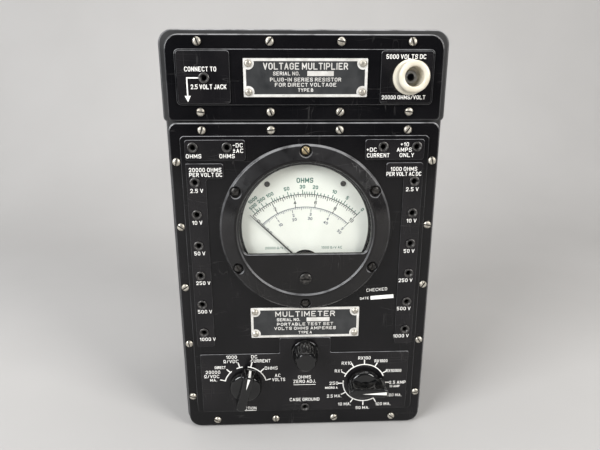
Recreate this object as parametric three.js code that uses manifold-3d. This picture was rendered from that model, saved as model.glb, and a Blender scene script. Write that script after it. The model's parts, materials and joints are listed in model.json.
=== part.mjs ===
// An analog multimeter with a high-voltage multiplier module above it, in millimetres.
//
// The finished part stands on the XY plane with +Z up. It faces -Y, and its bounding box is centred on the Z axis.
// Every piece is drawn in the face frame: x to the right, y up from the base, and z out of the front towards the
// user, with z = 0 on the flat border of both panels. One group at the end turns the face frame into the part's own.

import * as THREE from "three";
import { mergeVertices } from "three/addons/utils/BufferGeometryUtils.js";
import Module from "manifold-3d";

const wasm = await Module();
wasm.setup();

// ---------------------------------------------------------------- driving dimensions

const DEPTH = 133; // overall, knob faces to case back
const PROUD = 18; // tallest control above the panel border
const GAP = 0.3; // between pieces that rest on each other
const WELD = 1e-4; // vertices closer than this are one vertex

const CASE = { width: 180.8, height: 285.8, corner: 9, wall: 4.2, front: -6, back: PROUD - DEPTH };
const HOOD = { width: 184, overlap: 15, corner: 3 }; // the wider part of the case round the upper panel
const RIM = { inner: 79, depth: 10, holeDepth: 8.5, corner: 3 };
const OPENINGS = { lower: [12.5, 219.4], upper: [240.8, 272.9] }; // bottom and top of each way into the case
const GASKET = { width: 2.2, overlap: 2.6, corner: 4 };
const PANEL = { back: -5, corner: 9, seamCorner: 5.5, bevel: 1 };
const LOWER = { halfWidth: 88.1, bottom: 1, top: 229.2 };
const UPPER = { halfWidth: 87.4, bottom: 229.9, top: 282.4, seamCorner: 3 };
const PLATEAU = { halfWidth: 81, top: 1.6, bevel: 0.5, corner: 3 };
const LOWER_PLATEAU = { bottom: 14.5, top: 220.9 };
const UPPER_PLATEAU = { bottom: 239.9, top: 273.5 };
const PAD = { top: 2.6, bevel: 0.4, corner: 2 };
const COLUMN_PAD = { edge: 78, narrow: 65.2, wide: 53.4, bottom: 70.5, step: 193.2, top: 203.3 };
const ROW_PAD = { inner: 38.9, outer: 77.9, bottom: 205, top: 218.5 };
const LABEL_PAD = { inner: 47, outer: 79.8, bottom: 240.9, top: 272.5 };
const CONTROL_PAD = { top: 2.4, halfWidth: 76.6, bottom: 15.6, shoulder: 64, tabHalfWidth: 18.6, tabTop: 76.4 };

const SCREW = { hole: 1.8, shank: 1.5, head: 2.6, headHeight: 1.6, length: 13, slotWidth: 0.8, slotDepth: 0.8 };
const SCREW_PITCH = 44.4; // across the rows
const ROWS = { lower: [7, 224.4], upper: [235.8, 277.9] };
const SIDE_COLUMN = { x: 84, bottom: 28.2, pitch: 44, count: 5 };

const JACK = { flange: 3.3, body: 2.5, bore: 1.75, hole: 2.75, lip: 0.7, back: -20, boreDepth: 15 };
const JACK_COLUMN = { x: 72.5, top: 190.9, pitch: 21.75 };
const JACK_ROW = { y: 213.7, outer: 72.7, inner: 50.7 };
const GROUND_JACK = { x: 0, y: 18.3 };
const MULTIPLIER_JACK = { x: -63, y: 256.4 };
const HIGH_VOLTAGE = { x: 65.2, y: 256.8, hole: 8.4 };

const METER = { x: 0, y: 158.5, flange: 57.6, barrel: 50, cavity: 46.8, hole: 50.4, back: -33, front: 7.5 };
const METER_SCREW = { circle: 53.2, hole: 1.5, counterbore: 3.9, seat: 4.3, count: 6 };
const WINDOW = { radius: 44.3, chord: 142.2, glassRadius: 46.3, glassChord: 139.5, back: 2.3, front: 4.2 };
const DIAL = { radius: 43.3, bottom: 136, front: -0.5, thickness: 0.8, notch: 10.8, screwX: 25.4, screwY: 189 };
const PIVOT = { x: 0, y: 132 };
const REST_ANGLE = 46; // the pointer rests this far left of upright
const POINTER = { length: 52, back: 0.5, front: 0.9, tail: 13 };
const ZERO = { y: 124.6, head: 4.1, shank: 2.1, pinOffset: 0.9, pinRadius: 0.6 };

const FUNCTION_SWITCH = { x: -44.1, y: 37.9, rest: 15, wafers: [-14, -22] };
const RANGE_SWITCH = { x: 44.1, y: 37.9, rest: 90, wafers: [-14, -22, -30] };
const OHMS_CONTROL = { x: 0, y: 65.2 };
const SHAFT = { radius: 3.1, bore: 3.4, bushing: 4.6, hole: 4.9 };
const KNOB = { skirt: 11.8, seat: 3.2, top: 16.5, barWidth: 7.4, nose: 15.6, heel: 13.4 };
const ROUND_KNOB = { skirt: 9.9, foot: 9.3, face: 7.4, seat: 3.2, neck: 6, top: PROUD, flutes: 14 };

const NAMEPLATE = { halfWidth: 38.7, thickness: 0.8, corner: 0.6 };
const PLATE_HEIGHTS = { lower: [77.2, 100.4], upper: [244.9, 268] };

// ---------------------------------------------------------------- solids and booleans

function solidOf(geometry) {
  const bare = geometry.clone();
  bare.deleteAttribute("normal");
  bare.deleteAttribute("uv");
  const welded = mergeVertices(bare, WELD);
  return new wasm.Manifold(
    new wasm.Mesh({
      numProp: 3,
      vertProperties: welded.getAttribute("position").array,
      triVerts: new Uint32Array(welded.index.array),
    }),
  );
}

function geometryOf(solid) {
  const mesh = solid.getMesh();
  const geometry = new THREE.BufferGeometry();
  geometry.setAttribute("position", new THREE.BufferAttribute(mesh.vertProperties, 3));
  geometry.setIndex(new THREE.BufferAttribute(mesh.triVerts, 1));
  geometry.computeVertexNormals();
  return geometry;
}

function join(...geometries) {
  return geometryOf(geometries.map(solidOf).reduce((all, next) => all.add(next)));
}

function cut(body, ...tools) {
  return geometryOf(tools.map(solidOf).reduce((left, tool) => left.subtract(tool), solidOf(body)));
}

// ---------------------------------------------------------------- basic shapes in the face frame

const radians = THREE.MathUtils.degToRad;

function roundedOutline(left, bottom, right, top, lowRadius, highRadius = lowRadius) {
  const shape = new THREE.Shape();
  shape.absarc(right - lowRadius, bottom + lowRadius, lowRadius, -Math.PI / 2, 0);
  shape.absarc(right - highRadius, top - highRadius, highRadius, 0, Math.PI / 2);
  shape.absarc(left + highRadius, top - highRadius, highRadius, Math.PI / 2, Math.PI);
  shape.absarc(left + lowRadius, bottom + lowRadius, lowRadius, Math.PI, 1.5 * Math.PI);
  shape.closePath();
  return shape;
}

function outlineThrough(points) {
  return new THREE.Shape(points.map(([x, y]) => new THREE.Vector2(x, y)));
}

function prism(shape, back, front, bevel = 0, curveSegments = 5) {
  const geometry = new THREE.ExtrudeGeometry(shape, {
    depth: front - back - 2 * bevel,
    bevelEnabled: bevel > 0,
    bevelThickness: bevel,
    bevelSize: bevel,
    bevelOffset: -bevel,
    bevelSegments: 1,
    curveSegments,
  });
  return geometry.translate(0, 0, back + bevel);
}

function block(left, bottom, right, top, back, front) {
  const geometry = new THREE.BoxGeometry(right - left, top - bottom, front - back);
  return geometry.translate((left + right) / 2, (bottom + top) / 2, (back + front) / 2);
}

function rod(x, y, radius, back, front, sides = 12) {
  const geometry = new THREE.CylinderGeometry(radius, radius, front - back, sides);
  return geometry.rotateX(Math.PI / 2).translate(x, y, (back + front) / 2);
}

// A solid turned about the z axis through (x, y). The profile is a list of [radius, z], outside face first.
function turned(x, y, profile, sides = 12) {
  const points = profile.map(([radius, z]) => new THREE.Vector2(radius, z));
  return new THREE.LatheGeometry(points, sides).rotateX(Math.PI / 2).translate(x, y, 0);
}

// A plain ring about the z axis through (x, y).
function ring(x, y, inner, outer, back, front, sides = 24) {
  const profile = [[inner, back], [outer, back], [outer, front], [inner, front], [inner, back]];
  return turned(x, y, profile, sides);
}

// A circle with its part below a level cut away.
function segmentOutline(x, y, radius, level) {
  const start = Math.asin((level - y) / radius);
  const shape = new THREE.Shape();
  shape.absarc(x, y, radius, start, Math.PI - start);
  shape.closePath();
  return shape;
}

// A rod lying along x, centred on (y, z).
function crossRod(left, right, y, z, radius, sides = 12) {
  const geometry = new THREE.CylinderGeometry(radius, radius, right - left, sides);
  return geometry.rotateZ(Math.PI / 2).translate((left + right) / 2, y, z);
}

// ---------------------------------------------------------------- where the repeated pieces go

function rowPlaces(rows) {
  const steps = [-1.5, -0.5, 0.5, 1.5];
  return rows.flatMap((y) => steps.map((step) => [step * SCREW_PITCH, y]));
}

function sidePlaces() {
  const steps = [...Array(SIDE_COLUMN.count).keys()];
  return [-SIDE_COLUMN.x, SIDE_COLUMN.x].flatMap((x) =>
    steps.map((step) => [x, SIDE_COLUMN.bottom + step * SIDE_COLUMN.pitch]),
  );
}

const lowerScrews = [...rowPlaces(ROWS.lower), ...sidePlaces()];
const upperScrews = rowPlaces(ROWS.upper);

function meterScrewPlaces() {
  return [...Array(METER_SCREW.count).keys()].map((step) => {
    const angle = Math.PI / 2 + (step * 2 * Math.PI) / METER_SCREW.count;
    return [METER.x + METER_SCREW.circle * Math.cos(angle), METER.y + METER_SCREW.circle * Math.sin(angle)];
  });
}

// Each jack's node name, place and the height of the face it is set in.
function jackPlaces() {
  const volts = ["2v5", "10v", "50v", "250v", "500v", "1000v"];
  const column = (side, x) =>
    volts.map((range, step) => ({
      name: `jack_${side}_${range}`,
      x,
      y: JACK_COLUMN.top - step * JACK_COLUMN.pitch,
      face: PAD.top,
    }));
  return [
    ...column("20k_per_volt", -JACK_COLUMN.x),
    ...column("1k_per_volt", JACK_COLUMN.x),
    { name: "jack_ohms", x: -JACK_ROW.outer, y: JACK_ROW.y, face: PAD.top },
    { name: "jack_common", x: -JACK_ROW.inner, y: JACK_ROW.y, face: PAD.top },
    { name: "jack_current", x: JACK_ROW.inner, y: JACK_ROW.y, face: PAD.top },
    { name: "jack_10_amp", x: JACK_ROW.outer, y: JACK_ROW.y, face: PAD.top },
    { name: "jack_case_ground", ...GROUND_JACK, face: CONTROL_PAD.top },
    { name: "jack_multiplier", ...MULTIPLIER_JACK, face: PAD.top },
  ];
}

const isUpper = (place) => place.y > UPPER.bottom;
const jackHole = ({ x, y }) => rod(x, y, JACK.hole, PANEL.back - 1, PAD.top + 1, 8);
const shaftHole = ({ x, y }) => rod(x, y, SHAFT.hole, PANEL.back - 1, PAD.top + 1, 12);
const screwHole = ([x, y]) => rod(x, y, SCREW.hole, PANEL.back - 1, 1, 6);

// ---------------------------------------------------------------- case and panels

function caseBody() {
  const half = CASE.width / 2;
  const hood = HOOD.width / 2;
  const seam = (LOWER.top + UPPER.bottom) / 2;
  const shell = join(
    prism(roundedOutline(-half, 0, half, seam + HOOD.overlap, CASE.corner), CASE.back, CASE.front, 1.5, 6),
    prism(roundedOutline(-hood, seam, hood, CASE.height, HOOD.corner, CASE.corner), CASE.back, CASE.front, 1.5, 6),
  );
  const ledge = CASE.front - RIM.depth;
  const floor = CASE.back + CASE.wall;
  const inner = half - CASE.wall;
  const compartment = (bottom, top, [rimBottom, rimTop]) => [
    prism(roundedOutline(-inner, bottom, inner, top, CASE.corner - CASE.wall), floor, ledge, 0, 3),
    prism(roundedOutline(-RIM.inner, rimBottom, RIM.inner, rimTop, RIM.corner), ledge - 1, CASE.front + 1, 0, 3),
  ];
  const hollows = [
    ...compartment(CASE.wall, seam - CASE.wall / 2, OPENINGS.lower),
    ...compartment(seam + CASE.wall / 2, CASE.height - CASE.wall, OPENINGS.upper),
  ];
  const holes = [...lowerScrews, ...upperScrews].map(([x, y]) =>
    rod(x, y, SCREW.hole, CASE.front - RIM.holeDepth, CASE.front + 1, 6),
  );
  return cut(shell, ...hollows, ...holes);
}

// The stepped pad round a column of jacks: wide over the heading, narrow beside the numbers.
function columnPad(side) {
  const { edge, narrow, wide, bottom, step, top } = COLUMN_PAD;
  const corners = [[edge, bottom], [narrow, bottom], [narrow, step], [wide, step], [wide, top], [edge, top]];
  const placed = corners.map(([x, y]) => [side * x, y]);
  return prism(outlineThrough(side < 0 ? placed : placed.reverse()), 0, PAD.top, PAD.bevel);
}

function rowPad(side) {
  const { inner, outer, bottom, top } = ROW_PAD;
  const [left, right] = side < 0 ? [-outer, -inner] : [inner, outer];
  return prism(roundedOutline(left, bottom, right, top, PAD.corner), 0, PAD.top, PAD.bevel, 3);
}

// The raised area under the controls, with a tab that reaches up to the nameplate.
function controlPad() {
  const { halfWidth, bottom, shoulder, tabHalfWidth, tabTop, top } = CONTROL_PAD;
  const corners = [
    [-halfWidth, bottom],
    [halfWidth, bottom],
    [halfWidth, shoulder],
    [tabHalfWidth, shoulder],
    [tabHalfWidth, tabTop],
    [-tabHalfWidth, tabTop],
    [-tabHalfWidth, shoulder],
    [-halfWidth, shoulder],
  ];
  return prism(outlineThrough(corners), 0, top, PAD.bevel);
}

function plateau({ bottom, top }) {
  const outline = roundedOutline(-PLATEAU.halfWidth, bottom, PLATEAU.halfWidth, top, PLATEAU.corner);
  return prism(outline, -1, PLATEAU.top, PLATEAU.bevel, 3);
}

function multimeterPanel() {
  const { halfWidth, bottom, top } = LOWER;
  const outline = roundedOutline(-halfWidth, bottom, halfWidth, top, PANEL.corner, PANEL.seamCorner);
  const moulding = join(
    prism(outline, PANEL.back, 0, PANEL.bevel),
    plateau(LOWER_PLATEAU),
    columnPad(-1),
    columnPad(1),
    rowPad(-1),
    rowPad(1),
    controlPad(),
  );
  return cut(
    moulding,
    rod(METER.x, METER.y, METER.hole + 0.2, PANEL.back - 1, PAD.top + 1, 36),
    ...jackPlaces().filter((place) => !isUpper(place)).map(jackHole),
    ...[FUNCTION_SWITCH, RANGE_SWITCH, OHMS_CONTROL].map(shaftHole),
    ...lowerScrews.map(screwHole),
    ...meterScrewPlaces().map(([x, y]) => rod(x, y, METER_SCREW.hole, PANEL.back - 1, PAD.top + 1, 6)),
  );
}

function multiplierPanel() {
  const { halfWidth, bottom, top, seamCorner } = UPPER;
  const outline = roundedOutline(-halfWidth, bottom, halfWidth, top, seamCorner, PANEL.corner);
  const labelPad = (left, right) =>
    prism(roundedOutline(left, LABEL_PAD.bottom, right, LABEL_PAD.top, PAD.corner), 0, PAD.top, PAD.bevel, 3);
  const moulding = join(
    prism(outline, PANEL.back, 0, PANEL.bevel),
    plateau(UPPER_PLATEAU),
    labelPad(-LABEL_PAD.outer, -LABEL_PAD.inner),
    labelPad(LABEL_PAD.inner, LABEL_PAD.outer),
  );
  return cut(
    moulding,
    ...jackPlaces().filter(isUpper).map(jackHole),
    rod(HIGH_VOLTAGE.x, HIGH_VOLTAGE.y, HIGH_VOLTAGE.hole, PANEL.back - 1, PAD.top + 1, 16),
    ...upperScrews.map(screwHole),
  );
}

// A flat rubber frame between a panel and the case rim, inside the line of screws.
function gasket([opening, openingTop]) {
  const { width, overlap, corner } = GASKET;
  const outer = RIM.inner + overlap;
  const bottom = opening - overlap;
  const top = openingTop + overlap;
  const outline = roundedOutline(-outer, bottom, outer, top, corner);
  const hole = roundedOutline(width - outer, bottom + width, outer - width, top - width, corner - width);
  outline.holes.push(hole);
  return prism(outline, CASE.front + 0.2, PANEL.back - 0.2, 0, 3);
}

function nameplate([bottom, top]) {
  const { halfWidth, thickness, corner } = NAMEPLATE;
  const back = PLATEAU.top + GAP;
  return prism(roundedOutline(-halfWidth, bottom, halfWidth, top, corner), back, back + thickness, 0, 2);
}

// ---------------------------------------------------------------- fasteners and jacks

function panScrew(x, y) {
  const seat = GAP;
  const top = seat + SCREW.headHeight;
  const profile = [
    [0, -SCREW.length],
    [SCREW.shank, -SCREW.length],
    [SCREW.shank, seat],
    [SCREW.head, seat],
    [SCREW.head, top - 0.8],
    [SCREW.head - 0.9, top],
    [0, top],
  ];
  const slotHalf = SCREW.slotWidth / 2;
  const reach = SCREW.head + 1;
  const slot = block(x - reach, y - slotHalf, x + reach, y + slotHalf, top - SCREW.slotDepth, top + 1);
  return cut(turned(x, y, profile, 10), slot);
}

function pinJack({ x, y, face }) {
  const front = face + GAP + JACK.lip;
  const profile = [
    [0, JACK.back],
    [JACK.body, JACK.back],
    [JACK.body, face + GAP],
    [JACK.flange, face + GAP],
    [JACK.flange, front],
    [JACK.bore, front],
    [JACK.bore, front - JACK.boreDepth],
    [0, front - JACK.boreDepth],
  ];
  return turned(x, y, profile, 8);
}

function highVoltageInsulator() {
  const seat = PAD.top + GAP;
  const profile = [
    [3.4, -18],
    [8, -18],
    [8, seat],
    [10.8, seat],
    [10.8, seat + 1.8],
    [9.6, seat + 2.8],
    [9.6, 14.8],
    [8.8, 15.8],
    [6.6, 15.8],
    [5.8, 15],
    [5.8, 3.2],
    [3.4, 3.2],
    [3.4, -18],
  ];
  return turned(HIGH_VOLTAGE.x, HIGH_VOLTAGE.y, profile, 16);
}

function highVoltageJack() {
  const head = 3.2 + GAP;
  const profile = [
    [0, -26],
    [3, -26],
    [3, head],
    [4.2, head],
    [4.2, head + 2],
    [2.3, head + 2],
    [2.3, head - 14],
    [0, head - 14],
  ];
  return turned(HIGH_VOLTAGE.x, HIGH_VOLTAGE.y, profile, 8);
}

// ---------------------------------------------------------------- meter case, window and dial

function meterHousing() {
  const seat = PLATEAU.top + GAP;
  const { x, y, flange, barrel, cavity, back, front } = METER;
  const profile = [
    [0, front - 3],
    [cavity, front - 3],
    [cavity, back],
    [barrel, back],
    [barrel, seat],
    [flange, seat],
    [flange, 5],
    [flange - 1.4, 6.3],
    [47.4, 8.9],
    [46.2, 8.7],
    [45.4, front],
    [0, front],
  ];
  const screws = meterScrewPlaces().flatMap(([sx, sy]) => [
    rod(sx, sy, METER_SCREW.hole + 0.2, seat - 1, front, 6),
    rod(sx, sy, METER_SCREW.counterbore, METER_SCREW.seat, front + 3, 10),
  ]);
  return cut(
    turned(x, y, profile, 36),
    prism(segmentOutline(x, y, WINDOW.radius, WINDOW.chord), front - 4, front + 1, 0, 28),
    rod(x, ZERO.y, ZERO.shank + GAP, front - 4, front + 1, 10),
    ...screws,
  );
}

function meterWindow() {
  const outline = segmentOutline(METER.x, METER.y, WINDOW.glassRadius, WINDOW.glassChord);
  return prism(outline, WINDOW.back, WINDOW.front, 0, 28);
}

function meterDial() {
  const plate = prism(
    segmentOutline(METER.x, METER.y, DIAL.radius, DIAL.bottom),
    DIAL.front - DIAL.thickness,
    DIAL.front,
    0,
    28,
  );
  return cut(plate, rod(PIVOT.x, PIVOT.y, DIAL.notch, DIAL.front - 2, DIAL.front + 1, 24));
}

// The round back that closes the barrel, with two posts that carry the dial.
function meterBase() {
  const post = (x) => rod(x, DIAL.screwY, 2.4, METER.back + 3, DIAL.front - DIAL.thickness - GAP, 10);
  return join(
    rod(METER.x, METER.y, METER.cavity - 0.5, METER.back + GAP, METER.back + 4, 28),
    post(-DIAL.screwX),
    post(DIAL.screwX),
  );
}

// ---------------------------------------------------------------- meter movement, about the pivot

const MAGNET = { inner: 17.4, outer: 26, back: -26, front: -3, opening: 130 };
const POLE = { inner: 10.4, outer: 17, back: -20, front: -6 };
const CORE = { radius: 7.4, back: -19, front: -7, web: 1.5 };
const COIL = { inner: 7.9, outer: 9.6, back: -22, front: -4, bar: 1, halfWidth: 1.5, staff: 0.7 };
const BRIDGE = { reach: 22, halfWidth: 3, back: 1.5, front: 2.2 };
const LEVER = { back: 2.5, front: 3.1, hub: 3.4, bore: 1.7, slot: 0.95, slotEnd: -4.6, arm: 2.3, reach: 8.4 };

// A horseshoe magnet whose open ends point down.
function meterMagnet() {
  const half = radians(MAGNET.opening / 2);
  const start = -Math.PI / 2 + half;
  const end = 1.5 * Math.PI - half;
  const shape = new THREE.Shape();
  shape.absarc(PIVOT.x, PIVOT.y, MAGNET.outer, start, end);
  shape.absarc(PIVOT.x, PIVOT.y, MAGNET.inner, end, start, true);
  shape.closePath();
  return prism(shape, MAGNET.back, MAGNET.front, 0, 11);
}

// Two soft-iron pole shoes joined above and below by thin bridges.
function poleShoes() {
  const { inner, outer, back, front } = POLE;
  const slot = (y) => block(PIVOT.x - 3, y - 2.6, PIVOT.x + 3, y + 2.6, back - 1, front + 1);
  return cut(
    ring(PIVOT.x, PIVOT.y, inner, outer, back, front, 20),
    slot(PIVOT.y + inner + 1.5),
    slot(PIVOT.y - inner - 1.5),
  );
}

function meterCore() {
  const reach = POLE.inner - GAP - 0.2;
  return join(
    rod(PIVOT.x, PIVOT.y, CORE.radius, CORE.back, CORE.front, 20),
    block(-CORE.web, PIVOT.y - reach, CORE.web, PIVOT.y + reach, CORE.back + 2, CORE.front - 2),
  );
}

// The bridge over the staff, with the jewel screw that the front pivot turns in.
function meterBridge() {
  const { reach, halfWidth, back, front } = BRIDGE;
  const leg = (x) => block(x - 1.5, PIVOT.y - 2.5, x + 1.5, PIVOT.y + 2.5, MAGNET.front + GAP, back + 0.2);
  return join(
    prism(roundedOutline(-reach, PIVOT.y - halfWidth, reach, PIVOT.y + halfWidth, 2), back, front, 0, 3),
    leg(PIVOT.x - reach + 2),
    leg(PIVOT.x + reach - 2),
    rod(PIVOT.x, PIVOT.y, LEVER.bore - GAP, front - 0.2, LEVER.front + 0.4, 12),
  );
}

// The moving pieces are drawn about the pivot at the origin, with the pointer upright.
function movingCoil() {
  const { inner, outer, back, front, bar, halfWidth, staff } = COIL;
  return join(
    block(-outer, -halfWidth, -inner, halfWidth, back, front),
    block(inner, -halfWidth, outer, halfWidth, back, front),
    block(-outer, -halfWidth, outer, halfWidth, front - bar, front),
    block(-outer, -halfWidth, outer, halfWidth, back, back + bar),
    rod(0, 0, staff, front - bar / 2, 1.3, 8),
    rod(0, 0, staff, back - 3.5, back + bar / 2, 8),
  );
}

function pointer() {
  const { length, back, front, tail } = POINTER;
  const blade = [[-0.9, 0], [0.9, 0], [0.7, 18], [0.25, length], [-0.25, length], [-0.7, 18]];
  const hub = rod(0, 0, 2.4, back, front, 12);
  const stem = block(-0.6, -tail, 0.6, 0, back, front);
  const weight = block(-2.6, -tail, 2.6, -tail + 3.4, back, front + 0.1);
  const body = join(prism(outlineThrough(blade), back, front), hub, stem, weight);
  return cut(body, rod(0, 0, COIL.staff + 0.2, back - 1, front + 1, 8));
}

// A flat spiral hairspring of square wire.
function hairspring() {
  const turns = 2.5;
  const steps = 32;
  const wire = 0.14;
  const radiusAt = (t) => 1.3 + 3.6 * t;
  const edge = (offset) =>
    [...Array(steps + 1).keys()].map((step) => {
      const t = step / steps;
      const angle = t * turns * 2 * Math.PI;
      return [(radiusAt(t) + offset) * Math.cos(angle), (radiusAt(t) + offset) * Math.sin(angle)];
    });
  return prism(outlineThrough([...edge(-wire), ...edge(wire).reverse()].reverse()), 1.02, 1.34);
}

// The zero adjuster's slotted screw, drawn about its own axis, with an off-centre pin that drives the lever.
function zeroScrew() {
  const seat = METER.front + GAP;
  const top = seat + 1.5;
  const inside = METER.front - 3;
  const profile = [
    [0, inside - 0.6],
    [ZERO.shank, inside - 0.6],
    [ZERO.shank, seat],
    [ZERO.head, seat],
    [ZERO.head, top - 0.5],
    [ZERO.head - 0.6, top],
    [0, top],
  ];
  const slot = block(-ZERO.head - 1, -0.6, ZERO.head + 1, 0.6, top - 0.9, top + 1);
  const pin = rod(0, ZERO.pinOffset, ZERO.pinRadius, LEVER.back - 0.2, inside, 8);
  return cut(join(turned(0, 0, profile, 16), pin), slot);
}

// The forked lever that the zero screw's pin swings about the pivot.
function zeroLever() {
  const { back, front, hub, bore, slot, slotEnd, arm, reach } = LEVER;
  const body = join(rod(0, 0, hub, back, front, 16), block(-arm, -reach, arm, 0, back, front));
  const fork = block(-slot, -reach - 1, slot, slotEnd, back - 1, front + 1);
  return cut(body, rod(0, 0, bore, back - 1, front + 1, 12), fork);
}

// ---------------------------------------------------------------- switches, potentiometer and knobs

function hexNut(back, front, across) {
  return rod(0, 0, across / Math.sqrt(3), back, front, 6);
}

// A threaded bushing and its nut, which clamp a control to the panel.
function bushing(face) {
  return [rod(0, 0, SHAFT.bushing, PANEL.back - 3, face + 2, 12), hexNut(face + GAP, face + 1.6, 11)];
}

// The fixed part of a rotary switch: front plate, tie rods and wafers, drawn about the shaft.
function switchDeck(wafers) {
  const last = wafers[wafers.length - 1];
  const wafer = (z) => ring(0, 0, 8, 16, z - 0.7, z + 0.7, 12);
  const tie = (x) => rod(x, 0, 1.3, last - 2, PANEL.back - 2.5, 5);
  const plate = prism(roundedOutline(-15, -12, 15, 12, 3), PANEL.back - 3.5, PANEL.back - 2, 0, 2);
  const body = join(plate, ...bushing(CONTROL_PAD.top), tie(-12.5), tie(12.5), ...wafers.map(wafer));
  return cut(body, rod(0, 0, SHAFT.bore, PANEL.back - 5, CONTROL_PAD.top + 3, 12));
}

// A shaft with one rotor for each wafer.
function switchShaft(wafers) {
  const last = wafers[wafers.length - 1];
  const rotor = (z) => rod(0, 0, 7.2, z - 1, z + 1, 10);
  return join(rod(0, 0, SHAFT.radius, last - 3, KNOB.top - 3.5, 10), ...wafers.map(rotor));
}

// A knob with a round skirt and a bar grip that narrows to the nose it points with.
function barKnob() {
  const { skirt, seat, top, barWidth, nose, heel } = KNOB;
  const half = barWidth / 2;
  const edge = seat + 2.4;
  const shoulder = seat + 4.6;
  const base = turned(0, 0, [[0, seat], [skirt, seat], [skirt, edge], [skirt - 2, shoulder], [0, shoulder]], 24);
  const grip = outlineThrough([
    [-half, -heel + 2],
    [-half + 2, -heel],
    [half - 2, -heel],
    [half, -heel + 2],
    [half, nose - 1.5],
    [half - 1.5, nose],
    [1.5 - half, nose],
    [-half, nose - 1.5],
  ]);
  const body = join(base, prism(grip, seat + 1.5, top, 0.8));
  return cut(body, rod(0, 0, SHAFT.bore, seat - 1, top - 3, 12), rod(0, 0, 8.5, seat - 1, seat + 2.2, 14));
}

function potentiometer() {
  const can = rod(0, 0, 12.5, -20, PANEL.back - 2, 18);
  return cut(join(can, ...bushing(CONTROL_PAD.top)), rod(0, 0, SHAFT.bore, -18, CONTROL_PAD.top + 3, 12));
}

function potentiometerShaft() {
  return rod(0, 0, SHAFT.radius, -17.5, ROUND_KNOB.top - 3.5, 12);
}

// A round knob on a low skirt, its tapered grip flattened into a facet for each flute.
function flutedKnob() {
  const { skirt, foot, face: faceRadius, seat, neck, top, flutes } = ROUND_KNOB;
  const base = turned(0, 0, [[0, seat], [skirt, seat], [skirt, neck - 1], [skirt - 1, neck], [0, neck]], 20);
  const side = [[foot, neck - 1], [faceRadius, top - 0.8], [faceRadius - 0.8, top]];
  const grip = turned(0, 0, [[0, neck - 1], ...side, [0, top]], flutes);
  const body = join(base, grip);
  return cut(body, rod(0, 0, SHAFT.bore, seat - 1, top - 3, 12), rod(0, 0, 7.4, seat - 1, seat + 2.2, 12));
}

// ---------------------------------------------------------------- electrical pieces behind the panels

const BOARD = { halfWidth: 74, bottom: 16, top: 94, back: -50, front: -48, corner: 3 };
const RESISTOR = { radius: 2.2, halfLength: 6, lift: 1.2, rows: [28, 55, 82], columns: [-56, -34, -12, 12, 34, 56] };
const RECTIFIER = { x: 58, y: 112, disc: 7, stud: 1.6, back: -34, front: -14, first: -30, pitch: 3.6, thickness: 2 };
const SHUNT = { left: 58, right: 80, bottom: 190, top: 196, back: -40, front: -26, gauge: 3 };
const CELL = { left: -66, right: -10, y: 186, z: -86, radius: 16.5, cap: 4.5, capLength: 2.5 };
const PACK = { left: 4, right: 66, bottom: 170.5, top: 202, back: -102, front: -72 };
const TRAY = { halfWidth: 72, bottom: 166, sheet: 2, wallTop: 196, back: -104, front: -66 };
const CHAIN = { left: -44, right: 40, y: 256, z: -44, radius: 7, cap: 8.2, capLength: 6 };

// The board behind the switches, with rows of resistors on it.
function circuitBoard() {
  const { halfWidth, bottom, top, back, front, corner } = BOARD;
  const { radius, halfLength, lift, rows, columns } = RESISTOR;
  const resistor = (x, y) => crossRod(x - halfLength, x + halfLength, y, front + lift, radius, 6);
  const plate = prism(roundedOutline(-halfWidth, bottom, halfWidth, top, corner), back, front, 0, 2);
  return join(plate, ...rows.flatMap((y) => columns.map((x) => resistor(x, y))));
}

// A stack of discs on one stud.
function rectifier() {
  const { x, y, disc, stud, back, front, first, pitch, thickness } = RECTIFIER;
  const starts = [0, 1, 2, 3].map((step) => first + pitch * step);
  return join(rod(x, y, stud, back, front, 8), ...starts.map((z) => rod(x, y, disc, z, z + thickness, 12)));
}

// The heavy strip that carries the ten-ampere range, bent into a U behind its jack.
function currentShunt() {
  const { left, right, bottom, top, back, front, gauge } = SHUNT;
  const inside = block(left + gauge, bottom - 1, right - gauge, top + 1, back - 1, front - gauge);
  return cut(block(left, bottom, right, top, back, front), inside);
}

function batteryCell() {
  const { left, right, y, z, radius, cap, capLength } = CELL;
  return join(crossRod(left, right, y, z, radius, 20), crossRod(right - 0.5, right + capLength, y, z, cap, 12));
}

function batteryPack() {
  return prism(roundedOutline(PACK.left, PACK.bottom, PACK.right, PACK.top, 2), PACK.back, PACK.front, 0, 2);
}

// The tray that both batteries sit on, with an upright at each end.
function batteryTray() {
  const { halfWidth, bottom, sheet, wallTop, back, front } = TRAY;
  return join(
    block(-halfWidth, bottom, halfWidth, bottom + sheet, back, front),
    block(-halfWidth, bottom, sheet - halfWidth, wallTop, back, front),
    block(halfWidth - sheet, bottom, halfWidth, wallTop, back, front),
  );
}

// The multiplier's resistor chain in its ceramic tube, with a cap at each end.
function multiplierResistor() {
  const { left, right, y, z, radius, cap, capLength } = CHAIN;
  return join(
    crossRod(left, right, y, z, radius, 12),
    crossRod(left - 2, left - 2 + capLength, y, z, cap, 12),
    crossRod(right + 2 - capLength, right + 2, y, z, cap, 12),
  );
}

// ---------------------------------------------------------------- materials

function finish(color, roughness, metalness = 0) {
  return () => new THREE.MeshStandardMaterial({ color, roughness, metalness });
}

const phenolic = finish(0x0d0d0f, 0.22);
const casePhenolic = finish(0x161617, 0.4);
const rubber = finish(0x1c1c1c, 0.9);
const nickel = finish(0xb9b6ad, 0.32, 1);
const blackMetal = finish(0x2a2a2c, 0.4, 1);
const brass = finish(0xb99a55, 0.35, 1);
const copper = finish(0xb06a42, 0.4, 1);
const steel = finish(0x8c8f93, 0.4, 1);
const ceramic = finish(0xe6dfc9, 0.25);
const dialPaint = finish(0xefeee4, 0.55);
const boardLaminate = finish(0x6b4a26, 0.6);
const batteryCard = finish(0x3d4f63, 0.7);

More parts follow.
